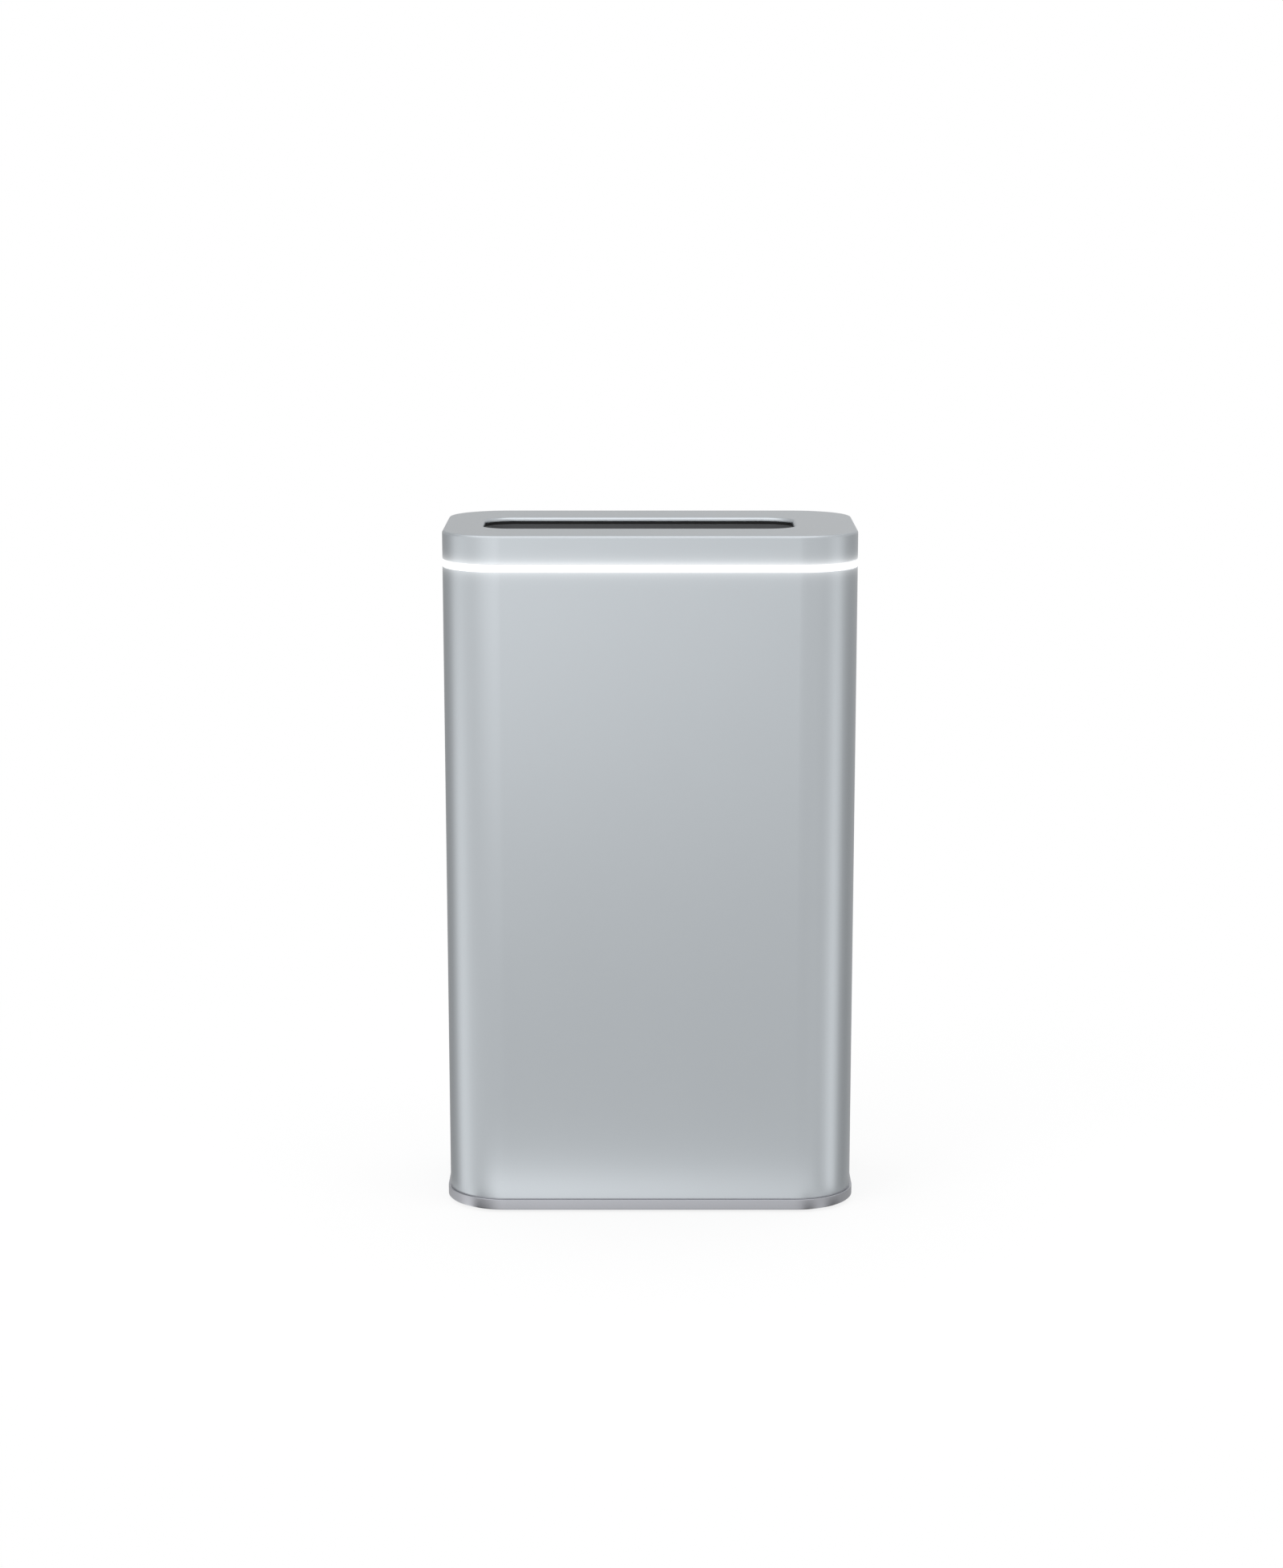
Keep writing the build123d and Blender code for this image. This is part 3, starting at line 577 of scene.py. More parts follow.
@dataclass(frozen=True)
class Finish:
    """A surface finish: colour, gloss, and the fine structure that breaks both up."""

    slot: str
    colour: Colour
    roughness: float
    metallic: float = 0.0
    grain_per_metre: float = 3000.0
    grain_depth: float = 0.000004
    grain_stretch: Triple = (1.0, 1.0, 1.0)
    gloss_spread: float = 0.08
    mottle: float = 0.04
    coat: float = 0.0
    grain_span: Pair = (0.3, 0.7)

    def material(self) -> bpy.types.Material:
        """Builds the material.

        Returns:
            A new material named after the finish's slot.
        """
        material = bpy.data.materials.new(self.slot)
        material.use_nodes = True
        material.diffuse_color = (*self.colour, 1.0)
        wiring = Wiring(material.node_tree)
        place = wiring.node("ShaderNodeTexCoord").outputs["Object"]
        draft = Draft(wiring, material.node_tree.nodes["Principled BSDF"], place)
        draft.fix(Metallic=self.metallic, Coat_Weight=self.coat)
        draft.feed("Base Color", draft.mottled(self.colour, self.mottle))
        self._grain(draft)
        self._extras(draft)
        return material

    def _grain(self, draft: Draft) -> None:
        """Wires one fine grain to the roughness, which it spreads, and to the relief.

        Args:
            draft: Material that is being wired.
        """
        density, stretch = self.grain_per_metre, self.grain_stretch
        grain = draft.effect(EffectGroups.fine_grain(), Grain_per_Metre=density, Stretch=stretch)
        least, most = self.grain_span
        low, high = self.roughness - self.gloss_spread / 2, self.roughness + self.gloss_spread / 2
        ends = {"From_Min": least, "From_Max": most, "To_Min": low, "To_Max": high}
        gloss = draft.wiring.node("ShaderNodeMapRange", Value=grain.outputs["Mask"], **ends)
        draft.feed("Roughness", gloss.outputs[0])
        height, depth = grain.outputs["Height"], self.grain_depth
        bump = draft.wiring.node("ShaderNodeBump", Strength=1.0, Distance=depth, Height=height)
        draft.feed("Normal", bump.outputs["Normal"])

    def _extras(self, draft: Draft) -> None:
        """Adds what one kind of finish has beyond the others; the plain one has nothing."""


@dataclass(frozen=True)
class BandFinish(Finish):
    """Finish whose own light is strongest in a level band and fades above and below it, in metres."""

    level: float = 0.19725
    half_height: float = 0.00125
    reach: float = 0.0011

    def _banded(self, draft: Draft, beyond: Colour, within: Colour) -> Socket:
        """Wires a light that goes over from one colour in the band to another beyond it.

        Args:
            draft: Material that is being wired.
            beyond: Colour far from the band.
            within: Colour in the band.

        Returns:
            The light.
        """
        sizes = {"Level": self.level, "Half_Height": self.half_height, "Reach": self.reach}
        halo = draft.effect(EffectGroups.ring_halo(), **sizes)
        return draft.wiring.mixed("MIX", halo.outputs["Glow"], beyond, within)


@dataclass(frozen=True)
class PaintedGlowFinish(BandFinish):
    """Bead-blasted metal with a painted glow: it emits a little light beside the light ring, fading above
    and below.
    """

    painted_glow: float = 0.19
    edge_tint: Colour = (0.8, 0.8, 0.8)

    def _extras(self, draft: Draft) -> None:
        """Adds the painted glow near the ring, and the metal's tint at its edges."""
        # Painted glow: the metal emits light near the ring, though it is no lamp.
        lit = (self.painted_glow, self.painted_glow, self.painted_glow)
        draft.feed("Emission Color", self._banded(draft, (0.0, 0.0, 0.0), lit))
        draft.fix(Emission_Strength=1.0, Specular_Tint=(*self.edge_tint, 1.0))


@dataclass(frozen=True)
class GuideFinish(BandFinish):
    """Frosted light guide that shines less towards its upper and lower edges."""

    level: float = 0.19695
    half_height: float = 0.0005
    reach: float = 0.0005
    light: Colour = (1.0, 1.0, 1.0)
    dim_light: Colour = (0.1, 0.1, 0.1)
    strength: float = 0.62

    def _extras(self, draft: Draft) -> None:
        """Adds the light, strongest at mid-height."""
        draft.feed("Emission Color", self._banded(draft, self.dim_light, self.light))
        draft.fix(Emission_Strength=self.strength)


@dataclass(frozen=True)
class LitFinish(Finish):
    """Phosphor that shines by itself."""

    light: Colour = (1.0, 1.0, 1.0)
    strength: float = 1.5
    unevenness: float = 0.03

    def _extras(self, draft: Draft) -> None:
        """Adds the light, slightly uneven over the surface."""
        draft.feed("Emission Color", draft.mottled(self.light, self.unevenness))
        draft.fix(Emission_Strength=self.strength)


@dataclass(frozen=True)
class GlassFinish(Finish):
    """Clear quartz or lamp glass."""

    index: float = 1.46

    def _extras(self, draft: Draft) -> None:
        """Makes the piece clear."""
        draft.fix(Transmission_Weight=1.0, IOR=self.index)


LENGTHWISE = (1.0, 1.0, 0.04)  # grain drawn out along the height
BRUSHED = (1.0, 1.0, 0.1)  # the same, less far
TURNED = (1.0, 1.0, 4.0)  # fine marks round an upright axis
RIBBED = (40.0, 1.0, 1.0)  # fine lines that follow one another along the length
# Satin metal of the sleeve, with a painted glow near the light ring.
SATIN = PaintedGlowFinish(
    "satin_silver", (0.475, 0.505, 0.530), 0.31, 1.0, 3600.0, 0.0000012, gloss_spread=0.04, mottle=0.012
)
# In order: slot, colour, roughness, metallic, grain per metre, grain's depth in metres, grain's stretch.
FINISHES: tuple[Finish, ...] = (
    SATIN,
    # The cap's painted glow near the ring is stronger than the sleeve's.
    replace(SATIN, slot="cap_silver", reach=0.0010, painted_glow=0.36),
    Finish(
        "base_metal", (0.402, 0.409, 0.436), 0.36, 1.0, 3600.0, 0.0000012, gloss_spread=0.05, mottle=0.015
    ),
    Finish("foot_rubber", (0.022, 0.022, 0.024), 0.75, 0.0, 2200.0, 0.00002),
    GuideFinish("light_guide", (0.86, 0.87, 0.88), 0.5, 0.0, 2500.0, 0.000002),
    Finish("seal_rubber", (0.006, 0.006, 0.0065), 0.68, 0.0, 2500.0, 0.00001),
    Finish("liner_plastic", (0.085, 0.088, 0.092), 0.42, 0.0, 2600.0, 0.00001),
    Finish("frame_plastic", (0.075, 0.077, 0.082), 0.48, 0.0, 2600.0, 0.00001),
    GlassFinish("quartz", (0.97, 0.98, 1.0), 0.02, 0.0, 500.0, 0.0000001, gloss_spread=0.01),
    Finish("mirror_sheet", (0.90, 0.91, 0.92), 0.10, 1.0, 900.0, 0.0000006, LENGTHWISE, 0.04, mottle=0.02),
    GlassFinish("lamp_glass", (0.93, 0.95, 1.0), 0.03, 0.0, 500.0, 0.0000001, gloss_spread=0.02),
    Finish("cap_metal", (0.72, 0.72, 0.73), 0.18, 1.0, 1500.0, 0.0000008),
    Finish("shutter_plastic", (0.022, 0.023, 0.025), 0.38, 0.0, 2600.0, 0.00001),
    Finish("gear_plastic", (0.74, 0.72, 0.66), 0.42, 0.0, 1800.0, 0.000004),
    Finish("motor_steel", (0.60, 0.60, 0.61), 0.30, 1.0, 1200.0, 0.000002, BRUSHED),
    Finish("bracket_steel", (0.52, 0.53, 0.55), 0.36, 1.0, 1400.0, 0.000003, mottle=0.10),
    Finish("switch_plastic", (0.020, 0.020, 0.022), 0.35, 0.0, 2500.0, 0.000006),
    Finish("carriage_plastic", (0.085, 0.087, 0.093), 0.45, 0.0, 2600.0, 0.00001),
    Finish("pad_rubber", (0.060, 0.062, 0.068), 0.62, 0.0, 2200.0, 0.00001),
    Finish("brass_parts", (0.72, 0.50, 0.22), 0.28, 1.0, 1600.0, 0.000002, TURNED),
    Finish("rod_steel", (0.62, 0.63, 0.64), 0.20, 1.0, 1600.0, 0.0000008, TURNED),
    Finish("board", (0.012, 0.11, 0.045), 0.30, 0.0, 900.0, 0.000004, coat=0.4),
    LitFinish("led_chip", (0.85, 0.82, 0.62), 0.4),
    Finish("ribbon_film", (0.76, 0.77, 0.79), 0.35, 0.0, 900.0, 0.000002, RIBBED),
    Finish("button_plastic", (0.44, 0.46, 0.48), 0.32, 1.0, 3600.0, 0.0000012, mottle=0.015),
    Finish("screw_steel", (0.50, 0.50, 0.50), 0.28, 1.0, 1800.0, 0.000002),
)


class Palette:
    """Materials by the record's slot names."""

    def __init__(self) -> None:
        """Builds each finish once."""
        self.materials = {finish.slot: finish.material() for finish in FINISHES}
        self.slots = {row["node"]: row["material_slot"] for row in frame["record"]["subparts"]}

    def dress(self, piece: Object, slot: str) -> None:
        """Gives a piece one finish on all its faces.

        Args:
            piece: Object to dress.
            slot: Record's name of the finish.
        """
        piece.data.materials.clear()
        piece.data.materials.append(self.materials[slot])
        for face in piece.data.polygons:
            face.material_index = 0


# ---------------------------------------------------------------- standing in for nodes
BODY_OF = {node: body for body, nodes in frame["record"]["behaviour"]["bodies"].items() for node in nodes}


def stand_in(piece: Object, node: str, palette: Palette, replaces: bool = True, slot: str = "") -> None:
    """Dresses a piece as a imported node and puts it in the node's place.

    Args:
        piece: Finished object.
        node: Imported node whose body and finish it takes.
        palette: Finishes.
        replaces: False where the piece is an addition to the node.
        slot: Another finish than the node's.
    """
    slot = slot or palette.slots[node]
    palette.dress(piece, slot)
    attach(piece, BODY_OF[node])
    if replaces:
        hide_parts(node)
    LOG.info("%s stands %s %s", piece.name, "for" if replaces else "beside", node)


# ---------------------------------------------------------------- grown forms
class Growth:
    """Geometry Nodes tree with named sizes, whose result becomes a plain mesh."""

    def __init__(self, name: str, sizes: dict[str, object]) -> None:
        """Opens the tree with its named inputs.

        Args:
            name: Name of the tree.
            sizes: Value of each named input: a whole number, a length in metres, or three lengths.
        """
        self.tree = bpy.data.node_groups.new(name, "GeometryNodeTree")
        self.tree.interface.new_socket(name="Places", in_out="INPUT", socket_type="NodeSocketGeometry")
        self.values: dict[str, object] = {}
        for label, value in sizes.items():
            kind = {int: "NodeSocketInt", float: "NodeSocketFloat"}.get(type(value), "NodeSocketVector")
            socket = self.tree.interface.new_socket(name=label, in_out="INPUT", socket_type=kind)
            self.values[socket.identifier] = value
        self.finish = self.tree.interface.new_socket(
            name="Finish", in_out="INPUT", socket_type="NodeSocketMaterial"
        ).identifier
        self.tree.interface.new_socket(name="Grown", in_out="OUTPUT", socket_type="NodeSocketGeometry")
        self.wiring = Wiring(self.tree)
        self.start = self.wiring.node("NodeGroupInput")

    def size(self, label: str) -> Socket:
        """Gives a named input."""
        return self.start.outputs[label]

    def add(self, kind: str, **settings: object) -> Socket:
        """Adds a node, and gives its first output."""
        return self.wiring.node(kind, **settings).outputs[0]

    def fused(self, operation: str, *shapes: Socket) -> Socket:
        """Fuses solids.

        Args:
            operation: UNION of all, or DIFFERENCE of the first and the rest.
            shapes: Solids.

        Returns:
            The result.
        """
        step = self.wiring.node("GeometryNodeMeshBoolean", operation=operation, solver="EXACT")
        for number, shape in enumerate(shapes):
            first = operation == "DIFFERENCE" and number == 0
            self.wiring.join(shape, step.inputs["Mesh 1" if first else "Mesh 2"])
        return step.outputs[0]

    def raised(self, shape: Socket, height: object, scale: object = (1.0, 1.0, 1.0)) -> Socket:
        """Moves a shape up.

        Args:
            shape: Shape to move.
            height: Distance, as a number or a socket.
            scale: Scale along each axis, as numbers or a socket.

        Returns:
            The moved shape.
        """
        up = self.add("ShaderNodeCombineXYZ", Z=height)
        return self.add("GeometryNodeTransform", Geometry=shape, Translation=up, Scale=scale)

    def rounded_path(self) -> Socket:
        """Draws the rounded rectangle given by the inputs Length, Width, Corner and Corner Steps.

        Returns:
            The closed curve.
        """
        width, height = self.size("Length"), self.size("Width")
        corners = self.add("GeometryNodeCurvePrimitiveQuadrilateral", Width=width, Height=height)
        radius, count = self.size("Corner"), self.size("Corner Steps")
        return self.add("GeometryNodeFilletCurve", mode="POLY", Curve=corners, Radius=radius, Count=count)

    def close(self, shape: Socket) -> None:
        """Ends the tree: real geometry with its finish.

        Args:
            shape: Shape that the tree gives.
        """
        real = self.add("GeometryNodeRealizeInstances", Geometry=shape)
        dressed = self.add("GeometryNodeSetMaterial", Geometry=real, Material=self.size("Finish"))
        self.wiring.join(dressed, self.wiring.node("NodeGroupOutput").inputs["Grown"])

    def close_at_places(self, shape: Socket) -> None:
        """Ends the tree with one copy of a shape at each place."""
        self.close(self.add("GeometryNodeInstanceOnPoints", Points=self.size("Places"), Instance=shape))

    def grow(
        self, name: str, points: list[Triple], material: bpy.types.Material, looped: bool = False
    ) -> Object:
        """Grows the form.

        Args:
            name: Name of the piece.
            points: Places, or the points of a section, in millimetres.
            material: Finish of the piece.
            looped: True where the points are a closed section.

        Returns:
            The piece, with a plain mesh.
        """
        count = len(points)
        mesh = bpy.data.meshes.new(name)
        edges = [(i, (i + 1) % count) for i in range(count)] if looped else []
        mesh.from_pydata([tuple(value * MM for value in point) for point in points], edges, [])
        piece = object_from(name, mesh)
        growing = piece.modifiers.new("growing", "NODES")
        growing.node_group = self.tree
        for identifier, value in self.values.items():
            growing[identifier] = value
        growing[self.finish] = material
        return settle(piece)


class ScrewGrowth(Growth):
    """Countersunk screws with a cross recess, heads down, one at each place."""

    def __init__(self, head: Pair, shank: float, length: float, recess: Triple, lap: float = 0.3) -> None:
        """Wires the tree.

        Args:
            head: Radius and height of the head.
            shank: Radius of the shank.
            length: Whole length.
            recess: Span, width and depth of the recess.
            lap: How far the shank reaches into the head.
        """
        names = ("Head Radius", "Head Height", "Shank Radius", "Length", "Lap")
        sizes = dict(zip(names, (*head, shank, length, lap)))
        sizes |= dict(zip(("Recess Span", "Recess Width", "Recess Depth"), recess))
        super().__init__("countersunk_screws", {label: value * MM for label, value in sizes.items()})
        head_cone = self.add(
            "GeometryNodeMeshCone",
            Vertices=32,
            Radius_Bottom=self.size("Head Radius"),
            Radius_Top=self.size("Shank Radius"),
            Depth=self.size("Head Height"),
        )
        run = self.wiring.math("SUBTRACT", self.size("Length"), self.size("Head Height"))
        long = self.wiring.math("ADD", run, self.size("Lap"))
        rod = self.add(
            "GeometryNodeMeshCylinder", Vertices=24, Radius=self.size("Shank Radius"), Depth=long
        )
        half_rod = self.wiring.math("MULTIPLY", long, 0.5)
        middle = self.wiring.math("SUBTRACT", self.size("Length"), half_rod)
        body = self.fused("UNION", head_cone, self.raised(rod, middle))
        deep = self.wiring.math("MULTIPLY", self.size("Recess Depth"), 2.0)
        arms = []
        for first, second in (("Recess Span", "Recess Width"), ("Recess Width", "Recess Span")):
            arm = self.add("ShaderNodeCombineXYZ", X=self.size(first), Y=self.size(second), Z=deep)
            arms.append(self.add("GeometryNodeMeshCube", Size=arm))
        self.close_at_places(self.fused("DIFFERENCE", body, self.fused("UNION", *arms)))


class HelixGrowth(Growth):
    """Screw threads or wire coils, one at each place."""

    def __init__(
        self, radius: float, lead: float, turns: float, wire: float, sides: int, steps: int
    ) -> None:
        """Wires the tree.

        Args:
            radius: Radius of the wire's middle line.
            lead: Rise in a turn.
            turns: Number of turns.
            wire: Radius of the wire's section.
            sides: Sides of the section; four give a pointed thread.
            steps: Segments in a turn.
        """
        sizes = {"Radius": radius * MM, "Lead": lead * MM, "Turns": turns, "Wire": wire * MM}
        super().__init__("helix", {**sizes, "Sides": sides, "Steps": steps})
        line = self.add(
            "GeometryNodeCurveSpiral",
            Resolution=self.size("Steps"),
            Rotations=self.size("Turns"),
            Start_Radius=self.size("Radius"),
            End_Radius=self.size("Radius"),
            Height=self.wiring.math("MULTIPLY", self.size("Lead"), self.size("Turns")),
        )
        upright = self.add("GeometryNodeSetCurveNormal", mode="Z_UP", Curve=line)
        section = self.add(
            "GeometryNodeCurvePrimitiveCircle", Resolution=self.size("Sides"), Radius=self.size("Wire")
        )
        self.close_at_places(
            self.add("GeometryNodeCurveToMesh", Curve=upright, Profile_Curve=section, Fill_Caps=True)
        )


class RimGrowth(Growth):
    """Section swept round a rounded rectangle; the section's first value goes outwards, its second down."""

    def __init__(self, plan: Plan) -> None:
        """Wires the tree.

        Args:
            plan: Outline that the section follows.
        """
        sizes = {"Length": plan.length * MM, "Width": plan.width * MM, "Corner": plan.corner * MM}
        centre = (plan.centre_x * MM, 0.0, 0.0)
        super().__init__("rim", {**sizes, "Corner Steps": CORNER_STEPS, "Centre": centre})
        upright = self.add("GeometryNodeSetCurveNormal", mode="Z_UP", Curve=self.rounded_path())
        section = self.add("GeometryNodeMeshToCurve", Mesh=self.size("Places"))
        rim = self.add("GeometryNodeCurveToMesh", Curve=upright, Profile_Curve=section)
        self.close(self.add("GeometryNodeTransform", Geometry=rim, Translation=self.size("Centre")))


class ChipGrowth(Growth):
    """Light chips with a domed lens, spaced evenly round a rounded rectangle."""

    def __init__(self, plan: Plan, count: int, level: float, chip: Triple, lens: Triple) -> None:
        """Wires the tree.

        Args:
            plan: Outline that the chips stand on.
            count: Number of chips.
            level: Height of their feet.
            chip: Size of a chip's body.
            lens: Half sizes of the domed lens on it.
        """
        sizes = {"Length": plan.length, "Width": plan.width, "Corner": plan.corner, "Level": level}
        spans = {"Chip": chip, "Lens": lens}
        super().__init__(
            "light_chips",
            {label: value * MM for label, value in sizes.items()}
            | {label: tuple(part * MM for part in value) for label, value in spans.items()}
            | {"Corner Steps": CORNER_STEPS, "Count": count},
        )
        points = self.wiring.node(
            "GeometryNodeCurveToPoints", Curve=self.rounded_path(), Count=self.size("Count")
        )
        tangent = points.outputs["Tangent"]
        turn = self.add("FunctionNodeAlignRotationToVector", axis="X", pivot_axis="Z", Vector=tangent)
        height = self.wiring.node("ShaderNodeSeparateXYZ", Vector=self.size("Chip")).outputs["Z"]
        cube = self.add("GeometryNodeMeshCube", Size=self.size("Chip"))
        body = self.raised(cube, self.wiring.math("MULTIPLY", height, 0.5))
        ball = self.add("GeometryNodeMeshUVSphere", Segments=16, Rings=8, Radius=1.0)
        join = self.wiring.node("GeometryNodeJoinGeometry")
        for shape in (body, self.raised(ball, height, self.size("Lens"))):
            self.wiring.join(shape, join.inputs[0])
        chips = self.add(
            "GeometryNodeInstanceOnPoints",
            Points=points.outputs["Points"],
            Instance=join.outputs[0],
            Rotation=turn,
        )
        self.close(self.raised(chips, self.size("Level")))


class PinGrowth(Growth):
    """Solder pins, one at each place."""

    def __init__(self, pin: Triple) -> None:
        """Wires the tree for a pin of a given size."""
        super().__init__("pins", {"Pin": tuple(part * MM for part in pin)})
        self.close_at_places(self.add("GeometryNodeMeshCube", Size=self.size("Pin")))


def rim(name: str, plan: Plan, corners: list[Corner], material: bpy.types.Material) -> Object:
    """Sweeps a wall's section round one outline.

    Args:
        name: Name of the piece.
        plan: Outline.
        corners: Section, going up on the outside.
        material: Finish of the piece.

    Returns:
        The swept wall.
    """
    section = [(-inset, -z, 0.0) for _, inset, z in reversed(rounded_section(corners, True))]
    return RimGrowth(plan).grow(name, section, material, looped=True)


# ---------------------------------------------------------------- shared places
@dataclass(frozen=True)
class Layout:
    """Sizes and places that more than one sub-assembly uses, in millimetres."""

    body: Plan = Plan(124.0, 74.0, 18.0)
    chamber_x: float = -3.4  # middle of the chamber and of the slot over it
    slot_size: Triple = (95.8, 33.9, 9.75)  # length, width and corner
    columns: tuple[Pair, ...] = ((-54.0, -20.0), (54.0, -20.0), (-54.0, 20.0), (54.0, 20.0))
    spindle: Pair = (52.9, 0.0)  # axis of the lift's screw
    inlet: Pair = (-14.0, 13.5)  # sideways place and height, on the back
    button: Pair = (14.0, 13.5)  # the same
    board_top: float = 7.2  # upper face of the main board
    z_base: float = 0.8  # underside of the base
    z_rim: float = 4.1  # top of the base's rim
    z_sleeve: float = 4.3  # foot of the sleeve
    z_ring: float = 196.0  # joint of the sleeve and the light ring
    z_cap: float = 198.5  # joint of the light ring and the cap
    z_top: float = 206.8
    cap_top: float = 1.2  # thickness of the cap's top
    slot_edge: float = 1.0  # rounding of the slot's rim
    skirt: float = 4.2  # inset of the cap's skirt, which the light ring sits round
    leg: float = 3.4  # reach of the light ring's leg below the joint
    spigot: float = 1.9  # inset of what fits inside the sleeve

    @property
    def slot(self) -> Plan:
        """Gives the outline of the slot in the cap."""
        return Plan(*self.slot_size, self.chamber_x)

    @property
    def z_under(self) -> float:
        """Gives the height of the cap's underside."""
        return self.z_top - self.cap_top


LAYOUT = Layout()


# ---------------------------------------------------------------- outer shells
# Sizes and heights of all sub-assemblies are in millimetres; those of the studio are in metres.
@dataclass
class Sleeve:
    """Drawn sleeve with chamfered holes for the inlet and the button."""

    palette: Palette
    thickness: float = 1.8
    edge: float = 0.1
    inner_foot_edge: float = 0.2
    inlet_hole: float = 5.3
    button_hole: float = 4.5
    hole_depth: float = 4.0
    chamfer: float = 0.5

    def build(self) -> None:
        """Builds the sleeve and cuts its holes."""
        low, high = LAYOUT.z_sleeve, LAYOUT.z_ring
        corners = [
            Corner(0, low, self.edge),
            Corner(0, high, self.edge),
            Corner(self.thickness, high, self.edge),
            Corner(self.thickness, low, self.inner_foot_edge),
        ]
        sleeve = rim("sleeve", LAYOUT.body, corners, self.palette.materials["satin_silver"])
        cutters = [self.cutter(LAYOUT.inlet, self.inlet_hole), self.cutter(LAYOUT.button, self.button_hole)]
        stand_in(shade(fuse(sleeve, cutters, Fusing.CUT)), "body_sleeve", self.palette)

    def cutter(self, place: Pair, radius: float) -> Object:
        """Form that cuts a chamfered hole in the back.

        Args:
            place: Sideways place and height of the hole.
            radius: Radius of the hole.

        Returns:
            The cutter.
        """
        x, z = place
        half = self.chamfer / 2
        section = [(radius, -self.hole_depth), (radius, -half), (radius + self.chamfer, half)]
        return turned("hole", section, (x, LAYOUT.body.width / 2, z), Along.Y, 64)


@dataclass
class LightGuide:
    """Frosted ring with a softly crowned face and a leg down to the lights."""

    palette: Palette
    set_back: float = 0.1  # from the sleeve's outline, and from the cap's skirt
    crown: float = 0.25
    leg_edge: float = 0.2

    def build(self) -> None:
        """Builds the light guide."""
        low, high = LAYOUT.z_ring, LAYOUT.z_cap
        foot, back = LAYOUT.z_ring - LAYOUT.leg, LAYOUT.skirt - self.set_back
        corners = [
            Corner(self.set_back, low, self.crown),
            Corner(self.set_back, high, self.crown),
            Corner(back, high),
            Corner(back, foot),
            Corner(LAYOUT.spigot, foot, self.leg_edge),
            Corner(LAYOUT.spigot, low),
        ]
        guide = rim("light_guide", LAYOUT.body, corners, self.palette.materials["light_guide"])
        stand_in(shade(guide), "light_ring", self.palette)


@dataclass
class Cap:
    """Cap with the slot, its rounded edges, the skirt and the hooks on it."""

    palette: Palette
    edge: float = 0.8
    joint_edge: float = 0.1
    thickness: float = 2.0
    skirt_wall: float = 1.2
    skirt_lap: float = 1.3  # how far the skirt reaches below the light ring's leg
    skirt_edge: float = 0.3
    rounding_steps: int = 8
    hooks: Pair = (-25.0, 25.0)
    hook_half: float = 6.0
    hook_reach: float = 0.5
    hook_drop: Pair = (4.5, 3.5)  # depths of its foot and top below the sleeve's top
    hook_edge: float = 0.15

    def build(self) -> None:
        """Builds the cap and sets the hooks on its skirt."""
        low, high, under = LAYOUT.z_cap, LAYOUT.z_top, LAYOUT.z_under
        outer, inner = LAYOUT.skirt, LAYOUT.skirt + self.skirt_wall
        foot, slot_edge = LAYOUT.z_ring - LAYOUT.leg - self.skirt_lap, LAYOUT.slot_edge
        corners = [
            Corner(0, low, self.joint_edge),
            Corner(0, high, self.edge),
            Corner(slot_edge, high, slot_edge, 1),
            Corner(slot_edge, under, 0, 1),
            Corner(inner, under),
            Corner(inner, foot, self.skirt_edge),
            Corner(outer, foot, self.skirt_edge),
            Corner(outer, under),
            Corner(self.thickness, under),
            Corner(self.thickness, low, self.joint_edge),
        ]
        shell = wall("cap", [LAYOUT.body, LAYOUT.slot], corners, steps=self.rounding_steps)
        hooks = [self.hook(x, side) for side in (-1, 1) for x in self.hooks]
        stand_in(shade(joined("cap", [shell, *hooks])), "top_cap", self.palette)

    def hook(self, x: float, side: int) -> Object:
        """Hook that snaps under the light guide.

        Args:
            x: Sideways place of its middle.
            side: -1 in front, 1 behind.

        Returns:
            The hook.
        """
        face = side * (LAYOUT.body.width / 2 - LAYOUT.skirt)
        near, far = sorted((face, face + side * self.hook_reach))
        low, high = (LAYOUT.z_ring - drop for drop in self.hook_drop)
        half = self.hook_half
        return block("hook", (x - half, near, low), (x + half, far, high), self.hook_edge)


@dataclass(frozen=True)
class Boss:
    """Raised seat on the base's floor: two corners seen from above, height and rounding."""

    low: Pair
    high: Pair
    height: float
    edge: float = 0.2


